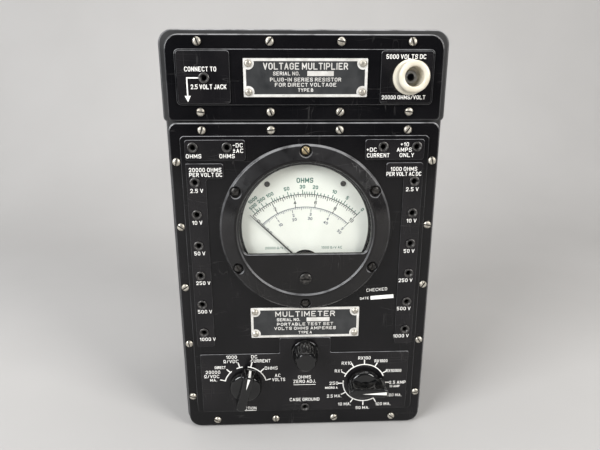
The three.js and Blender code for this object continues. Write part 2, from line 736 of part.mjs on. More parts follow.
function glass() {
  return new THREE.MeshStandardMaterial({ color: 0xf4fbff, roughness: 0.05, transparent: true, opacity: 0.25 });
}

// ---------------------------------------------------------------- assembly

const face = new THREE.Group();

function add(name, geometry, material, parent = face) {
  const mesh = new THREE.Mesh(geometry, material());
  mesh.name = name;
  parent.add(mesh);
}

// A group at a shaft, turned clockwise by an angle in degrees as the user sees it.
function station({ x, y }, clockwise = 0) {
  const group = new THREE.Group();
  group.position.set(x, y, 0);
  group.rotation.z = -radians(clockwise);
  face.add(group);
  return group;
}

function addCase() {
  add("case_body", caseBody(), casePhenolic);
  add("multimeter_panel", multimeterPanel(), phenolic);
  add("multiplier_panel", multiplierPanel(), phenolic);
  add("multimeter_gasket", gasket(OPENINGS.lower), rubber);
  add("multiplier_gasket", gasket(OPENINGS.upper), rubber);
  add("multimeter_nameplate", nameplate(PLATE_HEIGHTS.lower), nickel);
  add("multiplier_nameplate", nameplate(PLATE_HEIGHTS.upper), nickel);
  const x = 1.5 * SCREW_PITCH;
  const [low, high] = ROWS.lower;
  add("panel_screw_top_left", panScrew(-x, high), nickel);
  add("panel_screw_top_right", panScrew(x, high), nickel);
  add("panel_screw_bottom_left", panScrew(-x, low), nickel);
  add("panel_screw_bottom_right", panScrew(x, low), nickel);
}

function addJacks() {
  for (const place of jackPlaces()) add(place.name, pinJack(place), nickel);
  add("high_voltage_insulator", highVoltageInsulator(), ceramic);
  add("high_voltage_jack", highVoltageJack(), nickel);
}

function addMeter() {
  add("meter_housing", meterHousing(), phenolic);
  add("meter_window", meterWindow(), glass);
  add("meter_dial", meterDial(), dialPaint);
  add("meter_base", meterBase(), phenolic);
  add("meter_magnet", meterMagnet(), steel);
  add("meter_pole_shoes", poleShoes(), steel);
  add("meter_core", meterCore(), steel);
  add("meter_bridge", meterBridge(), brass);
  const movement = station(PIVOT, -REST_ANGLE);
  add("moving_coil", movingCoil(), copper, movement);
  add("pointer", pointer(), blackMetal, movement);
  add("hairspring", hairspring(), brass, movement);
  add("zero_screw", zeroScrew(), blackMetal, station({ x: METER.x, y: ZERO.y }));
  add("zero_lever", zeroLever(), brass, station(PIVOT));
}

function addSwitch(name, { x, y, rest, wafers }) {
  add(`${name}_switch_deck`, switchDeck(wafers), boardLaminate, station({ x, y }));
  const turning = station({ x, y }, rest);
  add(`${name}_shaft`, switchShaft(wafers), nickel, turning);
  add(`${name}_knob`, barKnob(), phenolic, turning);
}

function addOhmsControl() {
  const place = station(OHMS_CONTROL);
  add("ohms_zero_potentiometer", potentiometer(), steel, place);
  add("ohms_zero_shaft", potentiometerShaft(), nickel, place);
  add("ohms_zero_knob", flutedKnob(), phenolic, place);
}

function addCircuit() {
  add("circuit_board", circuitBoard(), boardLaminate);
  add("rectifier", rectifier(), copper);
  add("current_shunt", currentShunt(), copper);
  add("battery_cell", batteryCell(), batteryCard);
  add("battery_pack", batteryPack(), batteryCard);
  add("battery_tray", batteryTray(), steel);
  add("multiplier_resistor", multiplierResistor(), ceramic);
}

addCase();
addJacks();
addMeter();
addSwitch("function", FUNCTION_SWITCH);
addSwitch("range", RANGE_SWITCH);
addOhmsControl();
addCircuit();

face.rotation.x = Math.PI / 2;
face.position.y = PROUD - DEPTH / 2;

const multimeter = new THREE.Group();
multimeter.add(face);

export default multimeter;
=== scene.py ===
"""Looks of an analog multimeter with a high-voltage multiplier above it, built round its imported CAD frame.

Shapes are drawn in the face frame, in millimetres: x to the right, y up from the base and z out of the front,
with z = 0 on the flat border of both panels. TO_ROW turns them into the row frame, in metres.
"""

import json
from math import acos, cos, degrees, pi, radians, sin, tan

import bmesh
import bpy
from mathutils import Matrix, Vector


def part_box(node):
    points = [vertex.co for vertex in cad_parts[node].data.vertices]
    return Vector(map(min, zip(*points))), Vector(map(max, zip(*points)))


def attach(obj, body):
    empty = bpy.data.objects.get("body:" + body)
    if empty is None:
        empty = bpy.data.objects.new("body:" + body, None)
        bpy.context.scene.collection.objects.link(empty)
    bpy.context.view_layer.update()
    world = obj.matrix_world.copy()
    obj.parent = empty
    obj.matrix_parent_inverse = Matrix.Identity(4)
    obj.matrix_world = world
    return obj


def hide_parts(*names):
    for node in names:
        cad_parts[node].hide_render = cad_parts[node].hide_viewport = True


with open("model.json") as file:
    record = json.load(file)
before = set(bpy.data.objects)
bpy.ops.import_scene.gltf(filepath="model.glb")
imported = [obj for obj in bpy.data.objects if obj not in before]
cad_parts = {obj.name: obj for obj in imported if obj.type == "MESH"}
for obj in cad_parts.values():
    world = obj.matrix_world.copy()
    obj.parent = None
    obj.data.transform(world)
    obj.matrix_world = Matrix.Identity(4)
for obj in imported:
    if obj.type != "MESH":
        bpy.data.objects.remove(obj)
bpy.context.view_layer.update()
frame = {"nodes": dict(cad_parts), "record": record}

# ---- driving dimensions, in millimetres

MM = 0.001
PAD_TOP = 2.6
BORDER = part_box("multimeter_panel")[0].y + PAD_TOP * MM
TO_ROW = Matrix.Translation((0, BORDER, 0)) @ Matrix.Rotation(pi / 2, 4, "X") @ Matrix.Scale(MM, 4)

PLATEAU = {"half": 81, "top": 1.6, "edge": 0.6, "corner": 3}
LOWER_PLATEAU = (14.5, 220.9)
UPPER_PLATEAU = (239.9, 273.5)
PAD_EDGE, PAD_CORNER = 0.4, 2.0
COLUMN_PAD = {"edge": 78, "narrow": 65.2, "wide": 53.4, "bottom": 70.5, "step": 193.2, "top": 203.3}
ROW_PAD = (38.9, 205, 77.9, 218.5)
LABEL_PAD = (47, 240.9, 79.8, 272.5)
CONTROL_PAD = {"half": 76.6, "bottom": 15.6, "shoulder": 64, "tab": 18.6, "top": 76.4, "z": 2.4}
PANEL_EDGE = 1.4
CASE_HALF = 90.4
SCREW_PITCH = 44.4
SIDE_SCREW_X, SIDE_SCREW_LEVELS = 84, [28.2 + step * 44 for step in range(5)]
LOWER_ROWS, UPPER_ROWS = (7, 224.4), (235.8, 277.9)
METER = Vector((0, 158.5))
METER_CAVITY, METER_BARREL, METER_BACK = 46.8, 50, -33
FLANGE_CIRCLE, FLANGE_COUNT, COUNTERBORE, COUNTERBORE_SEAT = 53.2, 6, 3.9, 4.3
WINDOW = {"radius": 44.3, "chord": 142.2, "corner": 3.4, "edge": 1.1}
PIVOT = Vector((0, 132))
DIAL_SCREW = (25.4, 189)
LETTER = 2.3
THROUGH = (-6, 4)  # how far the tools that cut the panels reach behind and in front of the border
JACK_HOLE, SHAFT_HOLE, SCREW_HOLE, FLANGE_HOLE, INSULATOR_HOLE = 2.7, 4.9, 1.8, 1.5, 8.4
JACK_DEPTH, SHAFT_BORE = 15, 3.4
RING, RING_TICK = 15.5, 3.6
OUTER_ARC, INNER_ARC, SWEEP = 50.0, 41.2, 45.0
MID_SCALE_OHMS = 27.5


def face_box(node):
    """Lowest and highest corner of a CAD node in the face frame."""
    low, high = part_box(node)
    return (
        Vector((low.x, low.z, BORDER - high.y)) / MM,
        Vector((high.x, high.z, BORDER - low.y)) / MM,
    )


def face_centre(node):
    low, high = face_box(node)
    return ((low + high) / 2).to_2d()


# ---- outlines


def fillet(points, radius, steps, closed=True):
    """The same path with its corners rounded. radius is one number, or one for each corner."""
    count = len(points)
    radii = radius if isinstance(radius, (list, tuple)) else [radius] * count
    rounded = []
    for i, point in enumerate(points):
        here = Vector(point)
        last = Vector(points[i - 1]) - here
        following = Vector(points[(i + 1) % count]) - here
        at_end = not closed and i in (0, count - 1)
        if at_end or radii[i] <= 0 or abs(last.normalized().dot(following.normalized())) > 0.999:
            rounded.append(here)
            continue
        half = last.angle(following) / 2
        last_share = 1 if not closed and i == 1 else 0.5
        next_share = 1 if not closed and i == count - 2 else 0.5
        reach = min(radii[i] / tan(half), last.length * last_share, following.length * next_share)
        start = last.normalized() * reach
        end = following.normalized() * reach
        middle = (start + end).normalized() * (reach / cos(half))
        start, end = start - middle, end - middle
        turn = start.angle(end)
        for step in range(steps + 1):
            share = step / steps
            arc = (start * sin((1 - share) * turn) + end * sin(share * turn)) / sin(turn)
            rounded.append(here + middle + arc)
    return [p for i, p in enumerate(rounded) if (p - rounded[i - 1]).length > 1e-3 or (not closed and i == 0)]


def inset(outline, amount):
    """A counter-clockwise outline moved inwards."""
    moved = []
    for i, point in enumerate(outline):
        before = (point - outline[i - 1]).normalized()
        after = (outline[(i + 1) % len(outline)] - point).normalized()
        inward = Vector((-before.y - after.y, before.x + after.x)).normalized()
        moved.append(point + inward * (amount / max(inward.dot(Vector((-after.y, after.x))), 0.3)))
    return moved


def rectangle(left, bottom, right, top, radius, steps=8):
    """A rounded rectangle. radius is one number, or four from the lower left corner counter-clockwise."""
    return fillet([(left, bottom), (right, bottom), (right, top), (left, top)], radius, steps)


def circle(x, y, radius, steps):
    turns = [2 * pi * i / steps for i in range(steps)]
    return [Vector((x + radius * cos(a), y + radius * sin(a))) for a in turns]


def arc_path(centre, radius, start, end, step=4):
    """Points along an arc. Angles are in degrees clockwise from upright."""
    count = max(2, round(abs(end - start) / step))
    angles = [radians(start + (end - start) * i / count) for i in range(count + 1)]
    return [Vector((centre[0] + radius * sin(a), centre[1] + radius * cos(a))) for a in angles]


def polar(centre, radius, angle):
    return Vector((centre[0] + radius * sin(radians(angle)), centre[1] + radius * cos(radians(angle))))


# ---- solids


def as_mesh(made, name="scratch"):
    """The shape as mesh data. The shape itself is freed."""
    mesh = bpy.data.meshes.new(name)
    made.to_mesh(mesh)
    made.free()
    return mesh


def in_scene(name, data):
    thing = bpy.data.objects.new(name, data)
    bpy.context.scene.collection.objects.link(thing)
    return thing


def solid(rings, looped=False):
    """A closed mesh through rings of equal length, capped at both ends or looped back to the first."""
    made = bmesh.new()
    layers = [[made.verts.new(point) for point in ring] for ring in rings]
    for low, high in zip(layers, layers[1:] + layers[:looped]):
        for i in range(len(low)):
            j = (i + 1) % len(low)
            made.faces.new((low[i], low[j], high[j], high[i]))
    if not looped:
        made.faces.new(list(reversed(layers[0])))
        made.faces.new(layers[-1])
    return made


def rise(outline, levels):
    """A solid whose outline is inset by the first number of each level at the height of the second."""
    outline = [Vector(point) for point in outline]
    return solid([[(p.x, p.y, z) for p in inset(outline, amount)] for amount, z in levels])


def slab(outline, back, front, front_edge=0.0, back_edge=0.0, steps=4):
    """A plate with rounded front and back edges."""
    turns = [i * pi / 2 / steps for i in range(steps + 1)]
    foot, head = [(0, back)], [(0, front)]
    if back_edge:
        foot = [(back_edge * (1 - sin(a)), back + back_edge * (1 - cos(a))) for a in turns]
    if front_edge:
        head = [(front_edge * (1 - cos(a)), front - front_edge * (1 - sin(a))) for a in turns]
    return rise(outline, foot + head)


def turned(profile, x, y, steps, closed=False):
    """A solid of revolution about the z axis through (x, y), from a profile of (radius, z)."""
    made = bmesh.new()
    turns = [2 * pi * i / steps for i in range(steps)]
    rings = []
    for radius, z in profile:
        if radius < 1e-6:
            rings.append([made.verts.new((x, y, z))])
        else:
            rings.append([made.verts.new((x + radius * cos(a), y + radius * sin(a), z)) for a in turns])
    pairs = list(zip(rings, rings[1:])) + ([(rings[-1], rings[0])] if closed else [])
    for low, high in pairs:
        for i in range(steps):
            j = (i + 1) % steps
            corners = (low[i % len(low)], low[j % len(low)], high[j % len(high)], high[i % len(high)])
            made.faces.new(list(dict.fromkeys(corners)))
    bmesh.ops.recalc_face_normals(made, faces=made.faces)
    return made


def lathe(stations, x=0.0, y=0.0, steps=48, corner_steps=5, closed=False):
    """A solid of revolution from stations of (radius, z, rounding of that corner)."""
    points = [(radius, z) for radius, z, _ in stations]
    rounding = [corner for _, _, corner in stations]
    return turned(fillet(points, rounding, corner_steps, closed), x, y, steps, closed)


def rod(x, y, radius, back, front, steps=32):
    return slab(circle(x, y, radius, steps), back, front)


def block(left, bottom, right, top, back, front):
    return slab([(left, bottom), (right, bottom), (right, top), (left, top)], back, front)


def together(*parts):
    """One mesh that holds all the parts."""
    made = bmesh.new()
    for part in parts:
        mesh = as_mesh(part)
        made.from_mesh(mesh)
        bpy.data.meshes.remove(mesh)
    return made


def copied(part, x, y, z, turn):
    """A copy of a part, turned clockwise by an angle in degrees and then moved."""
    made = part.copy()
    made.transform(Matrix.Translation((x, y, z)) @ Matrix.Rotation(-radians(turn), 4, "Z"))
    return made


def boolean(base, operation, *tools):
    """The base joined with or cut by the tools, which don't touch each other when they cut."""
    body, *used = [in_scene("scratch", as_mesh(shape)) for shape in (base, *tools)]
    for tool in used:
        modifier = body.modifiers.new("boolean", "BOOLEAN")
        modifier.operation = operation
        modifier.solver = "EXACT"
        modifier.object = tool
    evaluated = body.evaluated_get(bpy.context.evaluated_depsgraph_get())
    mesh = bpy.data.meshes.new_from_object(evaluated)
    made = bmesh.new()
    made.from_mesh(mesh)
    for thing in [body, *used]:
        bpy.data.meshes.remove(thing.data)
    bpy.data.meshes.remove(mesh)
    bmesh.ops.remove_doubles(made, verts=made.verts, dist=1e-4)
    return made


def joined(base, *tools):
    return boolean(base, "UNION", *tools)


def cut(base, *tools):
    return boolean(base, "DIFFERENCE", together(*tools))


def piece(name, made, finishes, body="case", replaces=(), slot=None, sharp=35):
    """Makes one named piece of the model from a mesh in the face frame.

    The slot argument is not used.
    """
    finishes = finishes if isinstance(finishes, list) else [finishes]
    bmesh.ops.recalc_face_normals(made, faces=made.faces)
    made.transform(TO_ROW)
    mesh = as_mesh(made, name)
    for finish_name in finishes:
        mesh.materials.append(FINISHES[finish_name])
    mesh.shade_smooth()
    mesh.set_sharp_from_angle(angle=radians(sharp))
    thing = in_scene(name, mesh)
    thing.modifiers.new("even_normals", "WEIGHTED_NORMAL").keep_sharp = True
    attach(thing, body)
    if replaces:
        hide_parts(*replaces)
    slot = slot or finishes[0]


# ---- engraved capitals

# Strokes of each character that is drawn, on a grid 12 high, with two hexadecimal digits to a point. A path that
# starts with ~ has rounded corners, and one that starts with o is rounded and closed.
GLYPHS = {
    "A": "004c80 1474", "B": "000c ~0c7c7606 ~06868000", "C": "~8a8c0c008082", "D": "000c ~0c8c8000",
    "E": "8c0c0080 0666", "F": "8c0c00 0666", "G": "~898c0c008086 8656", "H": "000c 808c 0686", "I": "000c",
    "J": "~6c600003", "K": "000c 8c04 3780", "L": "0c0080", "M": "000c53aca0", "N": "000c808c",
    "O": "o000c8c80", "P": "000c ~0c8c8505", "R": "000c ~0c8c8606 4680",
    "S": "~8a8c0c0686800002", "T": "0c8c 4c40", "U": "~0c00808c", "V": "0c408c",
    "X": "008c 0c80", "Y": "0c468c 4640", "Z": "0c8c0080", "0": "o000c7c70", "1": "093c30",
    "2": "~090c7c7700 0070", "3": "~0a0c7c7636 ~3676700002", "4": "606c0383", "5": "7c0c07 ~0777700002",
    "6": "~7a7c0c03 o00077770", "8": "o060c7c76 o00067670",
    ".": "0001", "-": "0656", "+": "0666 3339", "±": "0868 353b 0161", "/": "006c",
    "Ω": "~003032050c8c85525080",
}
SPACE, GAP_BETWEEN = 4.5, 5.2


def glyph(letter):
    """The strokes of a letter as (points, closed) and its width, on the grid."""
    strokes = []
    for word in GLYPHS[letter].split():
        digits = word.lstrip("~o")
        points = [Vector((int(digits[i], 16), int(digits[i + 1], 16))) for i in range(0, len(digits), 2)]
        if len(points) < 2:
            continue
        if word[0] in "~o":
            strokes.append((fillet(points, 3.4, 3, word[0] == "o"), word[0] == "o"))
        else:
            strokes += [([a, b], False) for a, b in zip(points, points[1:])]
    return strokes, max(p.x for points, _ in strokes for p in points)


def lettering(text, x, y, height=LETTER, align=0.5, turn=0.0, width=None):
    """Strokes of a line of capitals centred at height y. align is 0 from x on, 0.5 centred and 1 up to x."""
    placed, pen = [], 0.0
    for letter in text:
        if letter == " ":
            pen += SPACE
            continue
        strokes, advance = glyph(letter)
        placed += [([point + Vector((pen, -6)) for point in points], closed) for points, closed in strokes]
        pen += advance + GAP_BETWEEN
    pen -= GAP_BETWEEN
    scale = height / 12
    stretch = width / pen if width else scale
    spin = Matrix.Rotation(-radians(turn), 2)
    here = Vector((x, y))
    return [
        ([here + spin @ Vector(((p.x - pen * align) * stretch, p.y * scale)) for p in points], closed)
        for points, closed in placed
    ]


def line(start, end):
    """One straight stroke."""
    return [Vector(start), Vector(end)], False


def ribbon(path, closed, half, base, height):
    """A low line of paint along a path, with round ends."""
    count = len(path)
    stations = []
    for i, point in enumerate(path):
        before = (point - path[i - 1]).normalized() if closed or i else None
        after = (path[(i + 1) % count] - point).normalized() if closed or i < count - 1 else None
        along = ((before or after) + (after or before)).normalized()
        stations.append((point, along, min(1.4, 1 / max(along.dot(after or before), 0.2))))
    if not closed:
        ends = ((1.0, 0.1), (0.87, 0.5), (0.5, 0.87))
        first, last = stations[0], stations[-1]
        head = [(first[0] - first[1] * half * back, first[1], size) for back, size in ends]
        tail = [(last[0] + last[1] * half * back, last[1], size) for back, size in reversed(ends)]
        stations = head + stations + tail
    rings = []
    for point, along, size in stations:
        side = Vector((-along.y, along.x)) * half * size
        low, high = (point - side, point + side), (point - side * 0.75, point + side * 0.75)
        rings.append([
            (low[0].x, low[0].y, base), (low[1].x, low[1].y, base),
            (high[1].x, high[1].y, base + height), (high[0].x, high[0].y, base + height),
        ])
    return solid(rings, closed)


def painted(strokes, half, base, height=0.05):
    """All the strokes as one mesh, at slightly different heights, so that crossing strokes don't coincide."""
    return together(*[
        ribbon(points, closed, half, base, height + 0.004 * (i % 5))
        for i, (points, closed) in enumerate(strokes)
    ])


# ---- finishes


# The finishes by name. Where the record has a slot of the same name, the finish is that slot's.
FINISHES = {}


class Nodes:
    """The node tree of one finish, with the few steps that all finishes share."""

    def __init__(self, name):
        FINISHES[name] = material = bpy.data.materials.new(name)
        material.use_nodes = True
        self.tree = material.node_tree
        self.shader = next(n for n in self.tree.nodes if n.type == "BSDF_PRINCIPLED")
        self.coordinates = self.add("ShaderNodeTexCoord")

    def add(self, kind, settings=None, **inputs):
        node = self.tree.nodes.new(kind)
        for key, value in (settings or {}).items():
            setattr(node, key, value)
        for key, value in inputs.items():
            self.feed(node.inputs[key.replace("_", " ")], value)
        return node

    def feed(self, socket, value):
        if isinstance(value, bpy.types.NodeSocket):
            self.tree.links.new(value, socket)
        else:
            socket.default_value = value

    def noise(self, size, detail=4.0, stretch=(1, 1, 1), turn=(0, 0, 0), shift=0.0):
        """Noise with features of about this size, in millimetres."""
        mapping = self.add(
            "ShaderNodeMapping", Vector=self.coordinates.outputs["Object"], Scale=stretch,
            Rotation=turn, Location=(shift, shift, shift),
        )
        scale = 1 / (size * MM)
        return self.add("ShaderNodeTexNoise", Vector=mapping.outputs[0], Scale=scale, Detail=detail).outputs[0]

    def remap(self, value, low, high, to_low=0.0, to_high=1.0):
        node = self.add("ShaderNodeMapRange", Value=value)
        for socket, number in zip(node.inputs[1:5], (low, high, to_low, to_high)):
            self.feed(socket, number)
        return node.outputs[0]

    def math(self, operation, a, b):
        node = self.add("ShaderNodeMath", {"operation": operation})
        self.feed(node.inputs[0], a)
        self.feed(node.inputs[1], b)
        return node.outputs[0]

    def mix(self, share, a, b):
        node = self.add("ShaderNodeMix", {"data_type": "RGBA"})
        self.feed(node.inputs[0], share)
        for socket, colour in zip(node.inputs[6:8], (a, b)):
            self.feed(socket, colour if isinstance(colour, bpy.types.NodeSocket) else (*colour, 1))
        return node.outputs[2]

    def scratches(self, size, stretch, turn):
        """Hairlines along the contours of stretched noise."""
        width = 0.006
        offset = self.math("ABSOLUTE", self.math("SUBTRACT", self.noise(size, 2, stretch, turn), 0.5), 0)
        return self.remap(offset, 0, width, 1, 0)


def finish(
    name, dark, light, rough, blotch, grain=None, scratched=0.0, dusty=0.0, wear_and_highlight=0.0, brushed=None, **plain
):
    """A procedural finish.

    dark and light are mixed over blotches of this size, and rough gives the lowest and highest roughness.
    grain is (size, strength) of fine relief, scratched and dusty are amounts, and wear_and_highlight lightens
    the edges of boxy pieces as edge wear with a painted highlight, strongest where an edge faces up. brushed is
    the stretch of a brushed metal's lines.
    """
    nodes = Nodes(name)
    colour = nodes.mix(nodes.remap(nodes.noise(blotch), 0.35, 0.65), dark, light)
    smudge = nodes.noise(blotch * 0.7, 5, shift=3.1)
    roughness = nodes.remap(smudge, 0.32, 0.68, *rough)
    relief = nodes.noise(grain[0] if grain else 0.6, 3)
    if brushed:
        lines = nodes.noise(1.6, 3, brushed)
        roughness = nodes.math("ADD", roughness, nodes.remap(lines, 0.3, 0.7, -0.08, 0.08))
        relief = nodes.math("ADD", relief, lines)
    if scratched:
        hairs = nodes.math(
            "MAXIMUM",
            nodes.scratches(6, (1, 1, 0.1), (0.2, 0.9, 0.3)),
            nodes.scratches(8, (0.08, 1, 1), (0.3, -0.5, 0.8)),
        )
        hairs = nodes.math("MULTIPLY", hairs, nodes.remap(nodes.noise(22, 3, shift=7.7), 0.52, 0.66))
        roughness = nodes.math("ADD", roughness, nodes.math("MULTIPLY", hairs, 0.3 * scratched))
        relief = nodes.math("SUBTRACT", relief, nodes.math("MULTIPLY", hairs, 0.5 * scratched))
        colour = nodes.mix(nodes.math("MULTIPLY", hairs, 0.12 * scratched), colour, (0.35, 0.34, 0.33))
    normal = nodes.add("ShaderNodeSeparateXYZ", Vector=nodes.coordinates.outputs["Normal"])
    # Edge wear and a painted highlight: slanted and rounded edges are lightened, partly as rubbed edges and
    # partly as light caught on them.
    if wear_and_highlight:
        sides = [nodes.math("ABSOLUTE", socket, 0) for socket in normal.outputs]
        flat = nodes.math("MAXIMUM", nodes.math("MAXIMUM", sides[0], sides[1]), sides[2])
        edge = nodes.remap(flat, 0.80, 0.98, 1, 0)
        # Painted highlight: edges that face up are lightened most, where light from above would catch them.
        upward_highlight = nodes.remap(normal.outputs[2], 0, 0.6, 0.2, 1)
        patch = nodes.remap(nodes.noise(9, 6, shift=1.9), 0.3, 0.55, 0.3, 1)
        patch = nodes.math("MULTIPLY", patch, upward_highlight)
        edge = nodes.math("MULTIPLY", nodes.math("MULTIPLY", edge, patch), wear_and_highlight)
        colour = nodes.mix(edge, colour, (0.42, 0.42, 0.43))
        roughness = nodes.math("ADD", roughness, nodes.math("MULTIPLY", edge, 0.15))
    if dusty:
        upward = nodes.remap(normal.outputs[2], 0.35, 1.0)
        dust = nodes.math("ADD", nodes.math("MULTIPLY", upward, 0.8), 0.03)
        dust = nodes.math("MULTIPLY", dust, nodes.remap(nodes.noise(2.2, 8, shift=5.3), 0.42, 0.72, 0, dusty))
        colour = nodes.mix(dust, colour, (0.4, 0.37, 0.33))
        roughness = nodes.math("ADD", roughness, nodes.math("MULTIPLY", dust, 0.5))
    bump = nodes.add("ShaderNodeBump", Height=relief, Strength=grain[1] if grain else 0.02, Distance=0.0001)
    nodes.feed(nodes.shader.inputs["Base Color"], colour)
    nodes.feed(nodes.shader.inputs["Roughness"], roughness)
    nodes.feed(nodes.shader.inputs["Normal"], bump.outputs[0])
    for key, value in plain.items():
        nodes.shader.inputs[key.replace("_", " ")].default_value = value


def window_glass():
    """A clear pane: it lets everything straight through and mirrors a little."""
    nodes = Nodes("window_glass")
    film = nodes.remap(nodes.noise(18, 4), 0.4, 0.75, 0.002, 0.015)
    nodes.tree.nodes.remove(nodes.shader)
    clear = nodes.add("ShaderNodeBsdfTransparent", Color=(0.99, 1, 0.995, 1))
    smears = nodes.remap(nodes.noise(30), 0.3, 0.7, 0.02, 0.08)
    mirror = nodes.add("ShaderNodeBsdfGlossy", Color=(1, 1, 1, 1), Roughness=smears)
    haze = nodes.add("ShaderNodeBsdfDiffuse", Color=(0.8, 0.8, 0.78, 1))
    facing = nodes.add("ShaderNodeLayerWeight", Blend=0.5)
    grazing = nodes.math("POWER", facing.outputs[1], 5)
    pane = nodes.add("ShaderNodeMixShader", Fac=nodes.remap(grazing, 0, 1, 0.03, 0.9))
    nodes.feed(pane.inputs[1], clear.outputs[0])
    nodes.feed(pane.inputs[2], mirror.outputs[0])
    dusty = nodes.add("ShaderNodeMixShader", Fac=film)
    nodes.feed(dusty.inputs[1], pane.outputs[0])
    nodes.feed(dusty.inputs[2], haze.outputs[0])
    out = next(n for n in nodes.tree.nodes if n.type == "OUTPUT_MATERIAL")
    nodes.feed(out.inputs[0], dusty.outputs[0])


finish(
    "panel_phenolic", (0.0022, 0.0021, 0.0026), (0.0045, 0.0042, 0.0048), (0.07, 0.16), 30,
    (0.5, 0.02), 0.5, 0.05, 0.7, IOR=1.35,
)
finish(
    "pad_phenolic", (0.0045, 0.0042, 0.005), (0.009, 0.0082, 0.009), (0.16, 0.26), 24,
    (0.35, 0.04), 0.4, 0.05, 0.6, IOR=1.37,
)
finish(
    "meter_phenolic", (0.003, 0.0027, 0.0028), (0.006, 0.0053, 0.0055), (0.12, 0.22), 22,
    (0.4, 0.03), 0.6, 0.04, 0.4, IOR=1.4,
)
finish(
    "knob_phenolic", (0.002, 0.002, 0.0023), (0.005, 0.005, 0.005), (0.07, 0.14), 10,
    (0.5, 0.02), 0.3, 0.05, IOR=1.5,
)
finish(
    "case_phenolic", (0.014, 0.014, 0.0145), (0.028, 0.0275, 0.0275), (0.34, 0.48), 40,
    (0.45, 0.14), 0.5, 0.22, 0.8, IOR=1.5,
)
finish("white_paint", (0.78, 0.76, 0.71), (0.9, 0.89, 0.86), (0.4, 0.6), 3, (0.3, 0.08))
finish(
    "nickel", (0.36, 0.33, 0.28), (0.62, 0.59, 0.52), (0.3, 0.5), 2.2, (0.3, 0.12), 0.4, 0.1, Metallic=0.85
)
finish(
    "jack_metal", (0.035, 0.034, 0.034), (0.12, 0.115, 0.11), (0.3, 0.5), 2.0, (0.3, 0.12), Metallic=0.8
)
finish(
    "brass", (0.30, 0.23, 0.12), (0.52, 0.43, 0.27), (0.32, 0.48), 2.4, (0.3, 0.12), 0.4, Metallic=0.9
)
finish(
    "black_screw", (0.014, 0.014, 0.014), (0.08, 0.075, 0.07), (0.28, 0.45), 1.8, (0.3, 0.12), Metallic=0.7
)
# The walls and floor of screw slots are coloured near-black here as painted shade.
finish("slot_shade", (0.012, 0.010, 0.008), (0.05, 0.042, 0.032), (0.6, 0.8), 0.8, (0.3, 0.2))
finish(
    "plate_aluminium", (0.66, 0.64, 0.60), (0.84, 0.825, 0.79), (0.32, 0.46), 6, (0.3, 0.05), 0.3, 0.1,
    brushed=(0.08, 1, 1), Metallic=0.4,
)
finish(
    "plate_paint", (0.016, 0.017, 0.018), (0.03, 0.031, 0.032), (0.3, 0.44), 8, (0.25, 0.1), 0.4, 0.06
)
finish(
    "ceramic", (0.60, 0.545, 0.43), (0.70, 0.66, 0.56), (0.12, 0.2), 9,
    (1.5, 0.02), 0.15, 0.04, Coat_Weight=0.5, Coat_Roughness=0.05,
)
finish("dial_enamel", (0.66, 0.652, 0.60), (0.72, 0.715, 0.665), (0.45, 0.6), 20, (0.2, 0.05))
finish("dial_black", (0.008, 0.008, 0.01), (0.02, 0.02, 0.022), (0.5, 0.7), 2)
finish("dial_green", (0.003, 0.075, 0.05), (0.008, 0.12, 0.085), (0.5, 0.7), 2)
finish("dial_blue", (0.012, 0.02, 0.05), (0.025, 0.038, 0.085), (0.5, 0.7), 2)
finish("pointer_black", (0.006, 0.006, 0.006), (0.02, 0.02, 0.02), (0.4, 0.6), 2, (0.2, 0.05))
finish(
    "gasket_rubber", (0.012, 0.012, 0.012), (0.03, 0.029, 0.028), (0.75, 0.9), 5, (0.4, 0.3), dusty=0.3
)
finish("copper", (0.42, 0.19, 0.09), (0.62, 0.32, 0.18), (0.25, 0.45), 3, (0.4, 0.1), Metallic=1.0)
finish(
    "magnet_steel", (0.28, 0.28, 0.29), (0.42, 0.42, 0.43), (0.3, 0.5), 5, (0.4, 0.15), 0.4, Metallic=1.0
)
finish(
    "board_laminate", (0.13, 0.065, 0.025), (0.22, 0.12, 0.05), (0.45, 0.6), 6, (0.3, 0.12), 0.3
)
finish("battery_card", (0.04, 0.07, 0.13), (0.07, 0.11, 0.19), (0.55, 0.75), 8, (0.4, 0.2), 0.3)
window_glass()


def finish_cad_nodes():
    """Gives every CAD node the finish of its slot in the record."""
    for part in frame["record"]["subparts"]:
        thing = frame["nodes"].get(part["node"])
        if thing is None:
            continue
        if not thing.material_slots:
            thing.data.materials.append(None)
        for slot in thing.material_slots:
            slot.link = "OBJECT"
            slot.material = FINISHES[part["material_slot"]]


def paint_faces(made, index, chosen):
    """Gives the faces that a test picks another of the piece's finishes."""
    for face in made.faces:
        if chosen(face.calc_center_median(), face.normal):
            face.material_index = index


# ---- case and panels


def case_shell():
    low, high = face_box("case_body")
    wall, rim_half, rim_depth, corner, front_edge, back_edge = 4.2, 79, 10, 9, 1.3, 3.0
    seam = (face_box("multimeter_panel")[1].y + face_box("multiplier_panel")[0].y) / 2
    trunk = rectangle(-CASE_HALF, low.y, CASE_HALF, seam + 15, corner, 10)
    hood = rectangle(low.x, seam, high.x, high.y, [3, 3, corner, corner], 10)
    shrunk = 0.05  # keeps the faces of the two from coinciding
    shell = joined(
        slab(trunk, low.z + shrunk, high.z - shrunk, front_edge, back_edge, 5),
        slab(hood, low.z, high.z, front_edge, back_edge, 5),
    )
    inner = CASE_HALF - wall
    hollows = []
    for bottom, top, rim in (
        (wall, seam - wall / 2, (12.5, 219.4)),
        (seam + wall / 2, high.y - wall, (240.8, 272.9)),
    ):
        ledge = high.z - rim_depth
        room = slab(rectangle(-inner, bottom, inner, top, corner - wall, 4), low.z + wall, ledge)
        way_in = slab(rectangle(-rim_half, rim[0], rim_half, rim[1], 3, 4), ledge - 1, high.z + 1)
        hollows.append(joined(room, way_in))
    piece("case_shell", cut(shell, *hollows), "case_phenolic", replaces=["case_body"])


